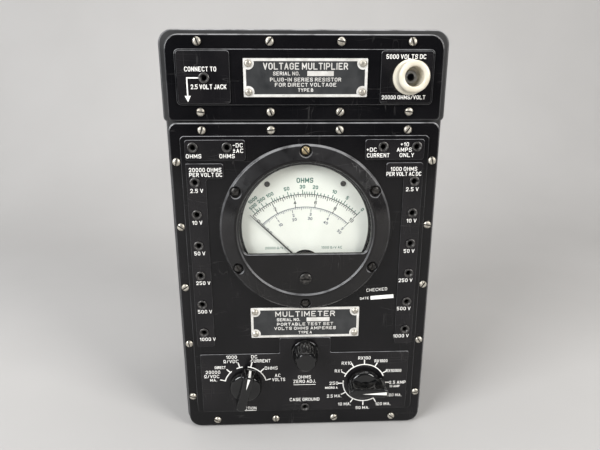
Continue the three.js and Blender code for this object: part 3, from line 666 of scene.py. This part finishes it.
def row_places(rows):
    return [(step * SCREW_PITCH, y) for y in rows for step in (-1.5, -0.5, 0.5, 1.5)]


def side_places():
    return [(side * SIDE_SCREW_X, y) for side in (-1, 1) for y in SIDE_SCREW_LEVELS]


def flange_places():
    return [polar(METER, FLANGE_CIRCLE, 360 / FLANGE_COUNT * step) for step in range(FLANGE_COUNT)]


def plateau(bottom, top):
    outline = rectangle(-PLATEAU["half"], bottom, PLATEAU["half"], top, PLATEAU["corner"])
    return slab(outline, -1, PLATEAU["top"], PLATEAU["edge"], steps=3)


def pad(outline, top=PAD_TOP):
    return slab(outline, 0.4, top, PAD_EDGE, steps=3)


def column_pad(side):
    p = COLUMN_PAD
    corners = [
        (p["edge"], p["bottom"]), (p["edge"], p["top"]), (p["wide"], p["top"]),
        (p["wide"], p["step"]), (p["narrow"], p["step"]), (p["narrow"], p["bottom"]),
    ]
    placed = [(side * x, y) for x, y in corners]
    return pad(fillet(placed if side > 0 else placed[::-1], [*[PAD_CORNER] * 4, 0.6, PAD_CORNER], 4))


def pad_pair(left, bottom, right, top):
    """The same rectangular pad on both sides of a panel."""
    sides = ((-right, -left), (left, right))
    return [pad(rectangle(start, bottom, end, top, PAD_CORNER, 5)) for start, end in sides]


def control_pad():
    p = CONTROL_PAD
    half, tab, shoulder, outer, inner = p["half"], p["tab"], p["shoulder"], 1.5, 0.8
    corners = [
        (-half, p["bottom"]), (half, p["bottom"]), (half, shoulder), (tab, shoulder),
        (tab, p["top"]), (-tab, p["top"]), (-tab, shoulder), (-half, shoulder),
    ]
    return pad(fillet(corners, [outer, outer, outer, inner, outer, outer, inner, outer], 4), p["z"])


def is_pad_face(centre, normal):
    return normal.z > 0.99 and centre.z > CONTROL_PAD["z"] - 0.05


def through_holes(nodes, radius):
    return [rod(*face_centre(node), radius, *THROUGH) for node in nodes]


def jack_nodes(upper):
    seam = face_box("multimeter_panel")[1].y
    found = [n for n in frame["nodes"] if n.startswith("jack_")]
    return sorted(n for n in found if (face_centre(n).y > seam) == upper)


def panel(name, node, radii, raised, holes):
    """One panel with its raised parts, cut by its holes. The tops of its pads have a finish of their own."""
    low, high = face_box(node)
    outline = rectangle(low.x, low.y, high.x, high.y, radii, 10)
    base = slab(outline, low.z, 0, PANEL_EDGE, back_edge=0.5, steps=5)
    made = cut(joined(base, *raised), *holes)
    paint_faces(made, 1, is_pad_face)
    piece(name, made, ["panel_phenolic", "pad_phenolic"], replaces=[node])


def screw_holes(places):
    return [rod(x, y, SCREW_HOLE, THROUGH[0], 1) for x, y in places]


def lower_panel():
    raised = [plateau(*LOWER_PLATEAU), column_pad(-1), column_pad(1), *pad_pair(*ROW_PAD), control_pad()]
    holes = [
        rod(*METER, METER_BARREL + 0.4, *THROUGH, 96),
        *through_holes(jack_nodes(False), JACK_HOLE),
        *through_holes(["function_shaft", "range_shaft", "ohms_zero_shaft"], SHAFT_HOLE),
        *screw_holes(row_places(LOWER_ROWS) + side_places()),
        *[rod(*place, FLANGE_HOLE, *THROUGH) for place in flange_places()],
    ]
    panel("multimeter_face", "multimeter_panel", [9, 9, 5.5, 5.5], raised, holes)


def upper_panel():
    raised = [plateau(*UPPER_PLATEAU), *pad_pair(*LABEL_PAD)]
    holes = [
        *through_holes(jack_nodes(True), JACK_HOLE),
        *through_holes(["high_voltage_insulator"], INSULATOR_HOLE),
        *screw_holes(row_places(UPPER_ROWS)),
    ]
    panel("multiplier_face", "multiplier_panel", [3, 3, 9, 9], raised, holes)


# ---- screws and jacks


def slotted_screw(head, height, shank, length, slot_width, slot_depth):
    """A slotted screw whose head sits on z = 0."""
    body = lathe([
        (0, -length, 0), (shank * 0.7, -length, 0), (shank, -length + 0.6, 0), (shank, 0, 0), (head, 0, 0.15),
        (head, height * 0.42, head * 0.22), (head * 0.72, height * 0.9, head * 0.5), (0, height, 0),
    ], steps=40)
    half = slot_width / 2
    made = cut(body, block(-head - 1, -half, head + 1, half, height - slot_depth, height + 1))
    # The slot's walls and floor take the second finish, a near-black painted shade.
    paint_faces(made, 1, lambda centre, normal: abs(centre.y) < half + 0.01 and centre.z > 0.1 and (
        abs(normal.y) > 0.99 or abs(centre.z - height + slot_depth) < 0.01
    ))
    return made


def scattered(part, places, z, first_turn=17, turn=67):
    """Copies of a screw at these places, each with its slot at its own angle."""
    copies = [copied(part, x, y, z, first_turn + turn * i) for i, (x, y) in enumerate(places)]
    part.free()
    return together(*copies)


def panel_screws():
    screw = slotted_screw(2.6, 1.6, 1.5, length=12.5, slot_width=0.85, slot_depth=0.85)
    seat = 0.3
    nodes = [f"panel_screw_{level}_{side}" for level in ("top", "bottom") for side in ("left", "right")]
    lower = scattered(screw.copy(), row_places(LOWER_ROWS) + side_places(), seat)
    upper = scattered(screw, row_places(UPPER_ROWS), seat, 5, 61)
    piece("multimeter_screws", lower, ["nickel", "slot_shade"], replaces=nodes)
    piece("multiplier_screws", upper, ["nickel", "slot_shade"])


def pin_jack(node):
    """A pin jack: a turned sleeve with a rounded flange and a tapered mouth."""
    low, high = face_box(node)
    x, y = face_centre(node)
    lip, flange, body, bore = 0.7, 3.3, 2.5, 1.6
    face, floor = high.z, high.z - JACK_DEPTH
    made = lathe([
        (0, low.z, 0), (body, low.z, 0), (body, face - lip, 0), (flange, face - lip, 0.1),
        (flange, face - 0.2, 0.25), (flange - 0.5, face, 0.3), (bore + 0.7, face, 0.3),
        (bore, face - 0.9, 0.5), (bore, floor, 0), (0, floor, 0),
    ], x, y, corner_steps=4)
    piece(node + "_sleeve", made, "jack_metal", replaces=[node])


def high_voltage_socket():
    low, high = face_box("high_voltage_insulator")
    x, y = face_centre("high_voltage_insulator")
    neck, flange, collar, bore, mouth = 8, 10.8, 9.6, 3.4, 5.8
    seat, floor = PAD_TOP + 0.3, 3.2
    made = lathe([
        (bore, low.z, 0.3), (neck, low.z, 0.5), (neck, seat, 0.2), (flange, seat, 0.4),
        (flange, seat + 1.8, 0.8), (collar, seat + 3.2, 1.2), (collar, high.z, 2.2), (mouth, high.z, 1.5),
        (mouth, floor, 0.8), (bore, floor, 0.2),
    ], x, y, steps=96, corner_steps=7, closed=True)
    piece("insulator", made, "ceramic", replaces=["high_voltage_insulator"])
    low, high = face_box("high_voltage_jack")
    face, floor = high.z, high.z - JACK_DEPTH
    body, lip, bore = 3, 4.2, 2.0
    made = lathe([
        (0, low.z, 0), (body, low.z, 0), (body, face - 2, 0), (lip, face - 2, 0.2), (lip, face, 0.6),
        (bore + 0.3, face, 0.6), (bore, face - 1, 0.4), (bore, floor, 0), (0, floor, 0),
    ], x, y, corner_steps=4)
    piece("insulator_jack", made, "magnet_steel", replaces=["high_voltage_jack"], slot="jack_metal")


# ---- meter


def chord_angle(radius, chord):
    """How far from upright a circle about the meter's centre meets a level chord, in degrees."""
    return degrees(acos((chord - METER.y) / radius))


def window_outline(radius, chord, corner, steps=72):
    """A circle with its part below a chord cut off, and both ends of the chord rounded."""
    end = chord_angle(radius, chord)
    arc = arc_path(METER, radius, end, -end, 360 / steps)
    thinned = [arc[0]] + arc[2:-2] + [arc[-1]]
    return fillet(thinned, [corner] + [0] * (len(thinned) - 2) + [corner], 7)


def meter_housing():
    seat, front = PLATEAU["top"] + 0.3, 7.5
    cover_back = front - 3
    flange, bevel, crest, rim = 57.6, 56.2, 47.6, 46.2
    body = lathe([
        (0, cover_back, 0), (METER_CAVITY, cover_back, 0), (METER_CAVITY, METER_BACK, 0.3),
        (METER_BARREL, METER_BACK, 0.3), (METER_BARREL, seat, 0), (flange, seat, 0.2), (flange, 4.9, 0.7),
        (bevel, 6.3, 1.0), (crest, 8.9, 1.2), (rim, 8.8, 0.5), (rim - 0.8, front, 0.5), (0, front, 0),
    ], *METER, steps=144)
    opening = window_outline(WINDOW["radius"], WINDOW["chord"], WINDOW["corner"])
    edge = WINDOW["edge"]
    turns = [i * pi / 12 for i in range(7)]
    lip = [(-edge * (1 - cos(a)), front - edge * (1 - sin(a))) for a in turns]
    window = rise(opening, [(0, front - 4)] + lip + [(-edge, front + 3)])
    zero_y = face_centre("zero_screw").y
    bore, seat_z = COUNTERBORE, COUNTERBORE_SEAT
    counterbore = [(bore, seat_z), (bore, 6.7), (bore + 0.6, 7.5), (bore + 0.6, 12)]
    made = cut(
        body,
        window,
        rod(METER.x, zero_y, 2.4, front - 4, front + 1),
        *[turned([(0, seat_z)] + counterbore + [(0, 12)], *place, 40) for place in flange_places()],
    )
    made = cut(made, *[rod(*place, 1.7, seat - 1, seat_z + 1) for place in flange_places()])
    piece("meter_bezel", made, "meter_phenolic", replaces=["meter_housing"], sharp=30)


def flange_screws():
    screw = slotted_screw(3.0, 1.7, 1.4, length=11, slot_width=0.75, slot_depth=0.8)
    places = [tuple(place) for place in flange_places()]
    seat = COUNTERBORE_SEAT + 0.05
    first = copied(screw, *places[0], seat, 48)
    others = scattered(screw, places[1:], seat, 30, 71)
    piece("flange_screw_brass", first, ["brass", "slot_shade"])
    piece("flange_screws", others, ["black_screw", "slot_shade"])


def zero_adjuster():
    """The slotted screw under the window, whose eccentric pin moves the zero lever."""
    low, high = face_box("zero_screw")
    x, y = METER.x, face_centre("zero_screw").y
    head, top, shank, foot = 4.1, high.z, 2.1, 4.0
    pin, offset, slot = 0.6, 0.9, 0.55
    body = lathe([
        (0, foot, 0), (shank, foot, 0.3), (shank, top - 1.5, 0), (head, top - 1.5, 0.1),
        (head, top - 0.5, 0.3), (head - 0.9, top, 0.3), (2.7, top - 0.15, 0.3), (0, top - 0.35, 0),
    ], x, y, corner_steps=4)
    screw = joined(body, rod(x, y + offset, pin, low.z, foot + 0.6))
    made = cut(screw, block(x - head - 1, y - slot, x + head + 1, y + slot, top - 1, top + 1))
    piece("zero_adjust_screw", made, "black_screw", "zero_adjuster", ["zero_screw"])


def dial_plate():
    low, high = face_box("meter_dial")
    radius, notch = 43.3, 10.8
    end = chord_angle(radius, low.y)
    plate = slab(arc_path(METER, radius, end, -end), low.z, high.z)
    made = cut(plate, rod(*PIVOT, notch, low.z - 1, high.z + 1, 64))
    piece("dial_plate", made, "dial_enamel", replaces=["meter_dial"])
    screw = slotted_screw(1.9, 0.9, 1.0, length=4, slot_width=0.5, slot_depth=0.4)
    places = [(side * DIAL_SCREW[0], DIAL_SCREW[1]) for side in (-1, 1)]
    screws = scattered(screw, places, high.z, 20, 50)
    piece("dial_screws", screws, ["black_screw", "slot_shade"])


def tick(angle, start, end, centre=PIVOT):
    return line(polar(centre, start, angle), polar(centre, end, angle))


def ohms_angle(ohms):
    return 2 * SWEEP * MID_SCALE_OHMS / (ohms + MID_SCALE_OHMS) - SWEEP


def ac_angle(share):
    return 2 * SWEEP * share**1.12 - SWEEP


def dial_number(text, angle, radius, height):
    return lettering(text, *polar(PIVOT, radius, angle), height, turn=angle)


def ohms_scale():
    """Green: the ohms scale on the outer arc's upper side and its numbers."""
    strokes = []
    numbered = [0, 5, 10, 20, 30, 50, 100, 200, 500, 1000]
    between = [*range(1, 5), *range(6, 10), *range(12, 20, 2), *range(22, 30, 2), 35, 40, 45]
    between += [*range(60, 100, 10), 150, 300, 400]
    for ohms in numbered:
        strokes.append(tick(ohms_angle(ohms), OUTER_ARC, OUTER_ARC + 2.8))
        if ohms in (0, 5, 10, 20, 30, 50, 100):
            strokes += dial_number(str(ohms), ohms_angle(ohms), OUTER_ARC + 5.1, 2.0)
    for ohms in between:
        strokes.append(tick(ohms_angle(ohms), OUTER_ARC, OUTER_ARC + 1.5))
    for text, angle, radius in (("200", -32.6, 54.9), ("500", -40.2, 54.6), ("1000", -37.4, 58.2)):
        strokes += dial_number(text, angle, radius, 1.9)
    return strokes


def direct_scale():
    """Black: the outer arc with its inner ticks, and three rows of numbers between the arcs."""
    strokes = [(arc_path(PIVOT, OUTER_ARC, -SWEEP, SWEEP, 2), False)]
    for step in range(51):
        angle = step * SWEEP / 25 - SWEEP
        depth = 2.4 if step % 5 == 0 else 1.5
        strokes.append(tick(angle, OUTER_ARC, OUTER_ARC - depth))
    for step in range(6):
        angle = step * SWEEP / 2.5 - SWEEP
        strokes.append(tick(angle, OUTER_ARC, OUTER_ARC - 3.4))
        strokes.append(tick(angle, INNER_ARC, INNER_ARC + 1.6))
        strokes += dial_number(str(2 * step), angle, OUTER_ARC - 5.3, 2.1)
    return strokes


def alternating_scale():
    """Blue: the inner arc with its own ticks and numbers."""
    strokes = [(arc_path(PIVOT, INNER_ARC, -SWEEP, SWEEP, 2), False)]
    for step in range(51):
        depth = 3.2 if step % 10 == 0 else 2.0 if step % 5 == 0 else 1.2
        strokes.append(tick(ac_angle(step / 50), INNER_ARC, INNER_ARC - depth))
    for step in range(6):
        strokes += dial_number(str(step), ac_angle(step / 5), INNER_ARC - 5.0, 1.7)
        strokes += dial_number(str(10 * step), ac_angle(step / 5), INNER_ARC - 8.0, 1.7)
    return strokes


def dial_print():
    front = face_box("meter_dial")[1].z
    green = together(
        painted(lettering("OHMS", -0.2, 191.4, 2.8, width=10.6), 0.34, front, 0.03),
        painted(ohms_scale(), 0.27, front, 0.03),
        painted(lettering("20000 Ω/V DC", -19.5, 144.2, 1.5), 0.15, front, 0.03),
        painted(lettering("1000 Ω/V AC", 18.5, 144.2, 1.5), 0.15, front, 0.03),
    )
    piece("ohms_scale", green, "dial_green")
    piece("direct_scale", painted(direct_scale(), 0.26, front, 0.035), "dial_black")
    piece("alternating_scale", painted(alternating_scale(), 0.2, front, 0.04), "dial_blue")


def pointer():
    """A lance pointer at its rest angle, with its hub and counterweight."""
    low, high = face_box("pointer")
    rest, length, tail = -46, 52, 13
    right_edge = [(0.55, 0), (0.5, 18), (0.42, 40), (0.14, length)]
    blade = right_edge + [(-x, y) for x, y in reversed(right_edge)]
    back, front = low.z, high.z - 0.1
    shape = slab(blade, back, front, 0.1, steps=2)
    hub = lathe([(0, back, 0), (2.4, back, 0), (2.4, front, 0.15), (0, front, 0)], steps=40, corner_steps=3)
    stem = block(-0.5, -tail, 0.5, 0, back, front)
    weight = slab(rectangle(-2.6, -tail, 2.6, -tail + 3.4, 0.8, 4), back, high.z, 0.1, steps=2)
    made = joined(hub, shape, stem, weight)
    made = cut(made, rod(0, 0, 0.9, back - 1, front + 1))
    made.transform(Matrix.Translation((*PIVOT, 0)) @ Matrix.Rotation(-radians(rest), 4, "Z"))
    piece("pointer_arm", made, "pointer_black", "movement", ["pointer"])


# ---- knobs


def bar_outline(half, nose, heel):
    corners = [
        (-half, -heel), (half, -heel), (half * 0.88, 0), (half * 0.96, nose * 0.8), (half * 0.72, nose),
        (-half * 0.72, nose), (-half * 0.96, nose * 0.8), (-half * 0.88, 0),
    ]
    return fillet(corners, [3.2, 3.2, 12, 3, 1.0, 1.0, 3, 12], 5)


def knob_body(skirt, rings, seat, top, hollow, hollow_top):
    """A knob's skirt and grip in one, hollow underneath and bored for its shaft."""
    room = rod(0, 0, hollow, seat - 1, hollow_top, 48)
    return cut(joined(skirt, solid(rings)), joined(room, rod(0, 0, SHAFT_BORE, seat, top - 3)))


def bar_knob(name, body, node, shaft, rest, heel, mark_start, mark_half):
    """A round skirt with a flared bar grip, and a white wedge that points where the knob points.

    rest is the knob's angle in the photo, clockwise from upright. heel is how far the grip reaches behind the
    shaft, and the wedge starts at mark_start in front of it.
    """
    low, high = face_box(node)
    x, y = face_centre(shaft)
    seat, top = low.z, high.z
    foot = 11.8
    skirt = lathe([
        (0, seat, 0), (foot, seat, 0.3), (foot, seat + 2.0, 0.9), (foot - 1.2, seat + 4.2, 2),
        (5, seat + 5.6, 2), (0, seat + 5.6, 0),
    ], steps=96)
    flare = [
        (5.6, 14.6, heel - 0.3, seat + 0.2), (5.4, 14.9, heel, seat + 2.6), (4.7, 15.1, heel, seat + 4.6),
        (4.2, 15.3, heel, seat + 6.6), (3.9, 15.4, heel - 0.1, seat + 9), (3.75, 15.5, heel - 0.2, top - 2),
    ]
    rings = [[(p.x, p.y, z) for p in bar_outline(half, nose, back)] for half, nose, back, z in flare]
    crown = bar_outline(3.65, 15.6, heel - 0.2)
    for step in range(5):
        a = step * pi / 8
        rings.append([(p.x, p.y, top - 1 + sin(a)) for p in inset(crown, 1 - cos(a))])
    made = knob_body(skirt, rings, seat, top, 8.5, seat + 2.2)
    place = Matrix.Translation((x, y, 0)) @ Matrix.Rotation(-radians(rest), 4, "Z")
    made.transform(place)
    piece(name, made, "knob_phenolic", body, [node])
    wedge = slab([(0, mark_start), (mark_half, 14.5), (-mark_half, 14.5)], top - 0.05, top + 0.03)
    mark = together(wedge, block(-0.8, 15.35, 0.8, 15.66, seat + 4, top - 0.8))
    mark.transform(place)
    piece(name + "_mark", mark, "white_paint", body)


def fluted_knob():
    low, high = face_box("ohms_zero_knob")
    x, y = face_centre("ohms_zero_knob")
    seat, top, flutes, points = low.z, high.z, 18, 8
    foot, skirt_top, flute_depth = 9.9, seat + 2.3, 0.42
    skirt = lathe([
        (0, seat, 0), (foot, seat, 0.2), (foot, seat + 1.6, 0.7), (foot - 1.3, skirt_top, 0.3),
        (0, skirt_top, 0),
    ], steps=96)
    levels = [
        (9.3, seat + 2), (9.0, seat + 6), (8.0, top - 2.6), (7.7, top - 1.8), (7.1, top - 0.8),
        (6.5, top - 0.15), (5.9, top), (5.4, top - 0.15),
    ]
    count = flutes * points
    turns = [2 * pi * i / count for i in range(count)]
    hollow = [(0.5 + 0.5 * cos(a * flutes)) ** 2 for a in turns]
    rings = []
    for index, (radius, z) in enumerate(levels):
        depth = flute_depth if index < 3 else 0.2 if index == 3 else 0
        reach = [radius - depth * share for share in hollow]
        rings.append([(r * cos(a), r * sin(a), z) for r, a in zip(reach, turns)])
    made = knob_body(skirt, rings, seat, top, 7.2, seat + 2)
    made.transform(Matrix.Translation((x, y, 0)))
    piece("ohms_zero_grip", made, "knob_phenolic", "ohms_zero", ["ohms_zero_knob"], sharp=30)


# ---- nameplates


def nameplate(name, node, lines):
    """An etched metal plate: raised border and letters on a dark field, held by four drive screws."""
    low, high = face_box(node)
    border, recess = 1.7, 0.25
    serial_x, box_start, box_end, box_half = -12, 1, 17.5, 1.5
    plate = slab(rectangle(low.x, low.y, high.x, high.y, 0.7, 4), low.z, high.z, 0.12, steps=2)
    screw_inset, land = 3.0, 3.7
    columns = (low.x + screw_inset, high.x - screw_inset)
    places = [(x, y) for x in columns for y in (low.y + screw_inset, high.y - screw_inset)]
    floor = high.z - recess
    field = block(low.x + border, low.y + border, high.x - border, high.y - border, floor, high.z + 1)
    field = cut(field, *[rod(x, y, land, high.z - 2, high.z + 2) for x, y in places])
    made = cut(plate, field)
    paint_faces(made, 1, lambda centre, normal: normal.z > 0.9 and centre.z < high.z - recess / 2)
    piece(name, made, ["plate_aluminium", "plate_paint"], replaces=[node])
    letters, boxes = [], []
    for text, height, weight, level, width in lines:
        y = high.y - border - level
        has_box = text.startswith("SERIAL")
        strokes = lettering(text, serial_x if has_box else 0, y, height, width=width)
        letters.append(painted(strokes, weight, floor, recess * 0.9))
        if has_box:
            boxes.append(slab(rectangle(box_start, y - box_half, box_end, y + box_half, 0.2, 2), floor, high.z))
    piece(name + "_letters", together(*letters, *boxes), "plate_aluminium")
    head = lathe([
        (0, -2, 0), (0.9, -2, 0), (0.9, 0, 0), (2.3, 0, 0.1), (2.25, 0.5, 0.3), (1.5, 1.25, 1), (0, 1.5, 0),
    ], steps=32)
    piece(name + "_drive_screws", scattered(head, places, high.z + 0.02, 0, 0), "nickel")


# ---- panel lettering

# Each row is (text, x, y, width), with a height where it isn't the usual one.
HEADINGS = (
    ("OHMS", -72.3, 208.1, None),
    ("OHMS", -50.8, 208.1, None),
    ("-DC", -43.7, 215.0, None),
    ("±AC", -43.6, 211.5, None),
    ("20000 OHMS", -65.4, 199.2, 20.6),
    ("PER VOLT DC", -65.2, 196.0, 21.0),
    ("1000 OHMS", 65.1, 199.1, 17.2),
    ("PER VOLT AC DC", 65.2, 195.8, 22.8),
    ("+DC", 43.1, 211.8, None),
    ("CURRENT", 47.6, 208.1, 14.4),
    ("+10", 64.7, 215.2, None),
    ("AMPS", 64.6, 211.7, None),
    ("ONLY", 66.4, 208.2, None),
)
FUNCTION_LEGEND = (
    ("20000", -67.9, 49.4, 10.2),
    ("Ω/VDC", -69.0, 45.9, 10.6),
    ("MA.", -67.8, 42.7, 4.6, 1.8),
    ("DIRECT", -62.4, 53.2, 7.6, 1.9),
    ("1000", -53.8, 61.6, 7.4),
    ("Ω/VDC", -54.4, 58.1, 10.6),
    ("DC", -37.3, 61.6, 4.0),
    ("CURRENT", -32.6, 58.1, 14),
    ("OHMS", -25.0, 52.0, 9.2),
    ("AC", -20.3, 45.7, 3.8),
    ("VOLTS", -19.6, 42.2, 9.3),
)
RANGE_LEGEND = (
    ("RX100", 43.9, 58.9, 8.8),
    ("RX1000", 56.4, 56.2, 9.3, 2.1),
    ("RX10000", 66.2, 47.8, 11.2, 2.1),
    ("2.5 AMP", 69.6, 37.7, 12.2),
    ("10 AMP", 67.6, 34.4, 7.3, 1.6),
    ("500 MA.", 67.6, 26.8, 11.2),
    ("100 MA.", 59.5, 19.2, 11.2),
    ("50 MA.", 43.9, 16.2, 10.0, 2.1),
    ("10 MA.", 30.0, 19.8, 9.4),
    ("2.5 MA.", 22.0, 27.0, 10.4),
    ("250", 21.6, 38.0, 6.2),
    ("MICRO A", 19.8, 34.2, 9.0, 1.5),
    ("RX1", 24.8, 48.4, 4.9),
    ("RX10", 30.8, 54.8, 7.0),
)


def labels(*rows):
    """Centred lines of lettering from rows like those above."""
    return [
        stroke for text, x, y, width, *height in rows for stroke in lettering(text, x, y, *height, width=width)
    ]


def jack_column_labels():
    strokes = []
    for node in jack_nodes(False):
        if "per_volt" not in node:
            continue
        text = node.rsplit("_", 1)[-1].replace("2v5", "2.5v").replace("v", " V")
        x, y = face_centre(node)
        left = x < 0
        strokes += lettering(text, x - 3.2 if left else x + 3.0, y - 5.5, align=0 if left else 1)
    return strokes


def knob_ring(centre, arcs, ticks):
    """The broken ring round a switch knob, from the ends of its arcs and the (angle, start) of its ticks."""
    strokes = [(arc_path(centre, RING, *ends), False) for ends in arcs]
    return strokes + [tick(angle, start, RING + RING_TICK, centre) for angle, start in ticks]


def function_legend():
    centre = face_centre("function_shaft")
    ticks = [(angle, RING) for angle in range(-75, 90, 30)]
    words = labels(*FUNCTION_LEGEND, ("FUNCTION", centre.x, 18.0, 14.4, 2.1))
    words.append(line((centre.x - 1.5, 15.9), (centre.x + 7.2, 15.9)))
    return knob_ring(centre, ((-75, -41), (-23, -8), (8, 75)), ticks), words


def range_legend():
    centre = face_centre("range_shaft")
    ticks = [(angle, RING + (0.8 if angle in (90, 120) else 0)) for angle in range(0, 360, 30)]
    return knob_ring(centre, ((-68, 68), (-83, -208)), ticks), labels(*RANGE_LEGEND)


def lower_lettering():
    rings, words = [], []
    for legend in (function_legend, range_legend):
        ring, names = legend()
        rings += ring
        words += names
    words += labels(("OHMS", -0.4, 43.9, 9.2), ("ZERO ADJ.", -0.3, 40.2, 16.4))
    words.append(line((-8.4, 37.4), (7.8, 37.4)))
    words += labels(("CASE GROUND", -0.3, 24.6, 22))
    level = CONTROL_PAD["z"]
    made = together(
        painted(rings, 0.4, level),
        painted(words, 0.185, level),
        painted(jack_column_labels() + labels(*HEADINGS), 0.2, PAD_TOP),
    )
    piece("multimeter_lettering", made, "white_paint")


def upper_lettering():
    jack = face_centre("jack_multiplier")
    left, tip = jack.x - 10.6, jack.y - 14.5
    arrow = [line((jack.x - 3.6, jack.y), (left, jack.y)), line((left, jack.y), (left, tip + 3))]
    head = slab([(left, tip), (left + 1.9, tip + 3.8), (left - 1.9, tip + 3.8)], PAD_TOP, PAD_TOP + 0.075)
    words = labels(
        ("CONNECT TO", -65.0, 261.6, 19.2, 2.4),
        ("2.5 VOLT JACK", -60.4, 251.1, 21.6, 2.4),
        ("5000 VOLTS DC", 62.5, 269.0, 24.4, 2.3),
        ("20000 OHMS/VOLT", 62.1, 244.7, 27.4, 2.1),
    )
    made = together(painted(arrow, 0.4, PAD_TOP), head, painted(words, 0.22, PAD_TOP))
    piece("multiplier_lettering", made, "white_paint")


def service_stamp():
    """A small painted stamp with a blank date box, low on the right of the meter."""
    level = PLATEAU["top"]
    x, y, tilt = 51.5, 109.8, -4
    words = lettering("CHECKED", x - 0.6, y + 3.2, 2.0, turn=tilt)
    words += lettering("DATE", x - 9.2, y - 3.4, 1.5, turn=tilt)
    box = slab(rectangle(-8.2, -1.4, 8.2, 1.4, 0.2, 2), 0, 0.06)
    box.transform(Matrix.Translation((x + 3.4, y - 2.6, level)) @ Matrix.Rotation(-radians(tilt), 4, "Z"))
    piece("service_stamp", together(painted(words, 0.14, level), box), "white_paint")


# ---- camera, light and floor


def camera():
    """The camera stands a little left of the object, level with its upper panel, and looks down at it."""
    data = bpy.data.cameras.new("camera")
    data.lens, data.sensor_width = 28.0, 36.0
    thing = in_scene("camera", data)
    yaw, pitch, roll = 1.97, 15.48, 0.06
    turn = Matrix.Rotation(-radians(yaw), 4, "Z") @ Matrix.Rotation(radians(90 - pitch), 4, "X")
    eye = (-0.0141, BORDER - 0.3068, 0.2457)
    thing.matrix_world = Matrix.Translation(eye) @ turn @ Matrix.Rotation(-radians(roll), 4, "Z")
    data.clip_start = 0.01
    bpy.context.scene.camera = thing


def area_light(name, place, target, size, power, colour=(1, 1, 1)):
    data = bpy.data.lights.new(name, "AREA")
    data.shape = "RECTANGLE"
    data.size, data.size_y = size
    data.energy, data.color = power, colour
    thing = in_scene(name, data)
    thing.location = place
    thing.rotation_euler = (Vector(target) - Vector(place)).to_track_quat("-Z", "Y").to_euler()


def studio():
    """A pale floor that sweeps up behind the object, under soft light from above and in front."""
    half, front, radius, back, height = 3.0, -3.0, 0.5, 0.9, 2.4
    turns = [i * pi / 24 for i in range(13)]
    sweep = [(back - radius + radius * sin(a), radius - radius * cos(a)) for a in turns]
    path = [(front, 0), *sweep, (back, height)]
    made = bmesh.new()
    rows = [[made.verts.new((x, y, z)) for x in (-half, half)] for y, z in path]
    for low, high in zip(rows, rows[1:]):
        made.faces.new((low[0], low[1], high[1], high[0]))
    mesh = as_mesh(made, "floor")
    mesh.shade_smooth()
    finish("floor_paper", (0.42, 0.41, 0.40), (0.45, 0.44, 0.43), (0.7, 0.85), 400, (0.6, 0.05))
    mesh.materials.append(FINISHES["floor_paper"])
    in_scene("floor", mesh)
    world = bpy.data.worlds.new("studio")
    world.use_nodes = True
    background = next(n for n in world.node_tree.nodes if n.type == "BACKGROUND")
    background.inputs[0].default_value = (0.85, 0.9, 1.0, 1)
    background.inputs[1].default_value = 0.12
    bpy.context.scene.world = world
    area_light("ceiling", (0, 0.1, 1.5), (0, 0.05, 0.1), (1.6, 0.8), 10, (1.0, 0.99, 0.97))
    area_light("left_softbox", (-1.11, -0.93, 0.85), (0, -0.05, 0.15), (0.8, 0.9), 34, (0.97, 0.985, 1.0))
    area_light("right_softbox", (1.11, -0.93, 0.85), (0, -0.05, 0.15), (0.6, 0.9), 24, (1.0, 0.985, 0.96))
    bpy.context.scene.view_settings.view_transform = "Standard"


# ---- the whole model

finish_cad_nodes()
case_shell()
lower_panel()
upper_panel()
panel_screws()
for jack in jack_nodes(True) + jack_nodes(False):
    pin_jack(jack)
high_voltage_socket()
meter_housing()
flange_screws()
zero_adjuster()
dial_plate()
dial_print()
pointer()
bar_knob("function_grip", "function_switch", "function_knob", "function_shaft", 15, 13.3, 5.5, 0.9)
bar_knob("range_grip", "range_switch", "range_knob", "range_shaft", 90, 12.2, -3, 1.25)
fluted_knob()
nameplate("multiplier_plate", "multiplier_nameplate", (
    ("VOLTAGE MULTIPLIER", 3.4, 0.36, 3.0, 52),
    ("SERIAL NO.", 1.9, 0.23, 7.3, None),
    ("PLUG-IN SERIES RESISTOR", 1.9, 0.23, 10.9, 44),
    ("FOR DIRECT VOLTAGE", 1.9, 0.23, 14.0, 38),
    ("TYPE B", 1.7, 0.23, 17.2, None),
))
nameplate("multimeter_plate", "multimeter_nameplate", (
    ("MULTIMETER", 3.5, 0.36, 3.2, 42),
    ("SERIAL NO.", 1.9, 0.23, 7.6, None),
    ("PORTABLE TEST SET", 1.9, 0.23, 11.2, 40),
    ("VOLTS OHMS AMPERES", 1.9, 0.23, 14.5, 44),
    ("TYPE A", 1.7, 0.23, 17.8, None),
))
lower_lettering()
upper_lettering()
service_stamp()
camera()
studio()
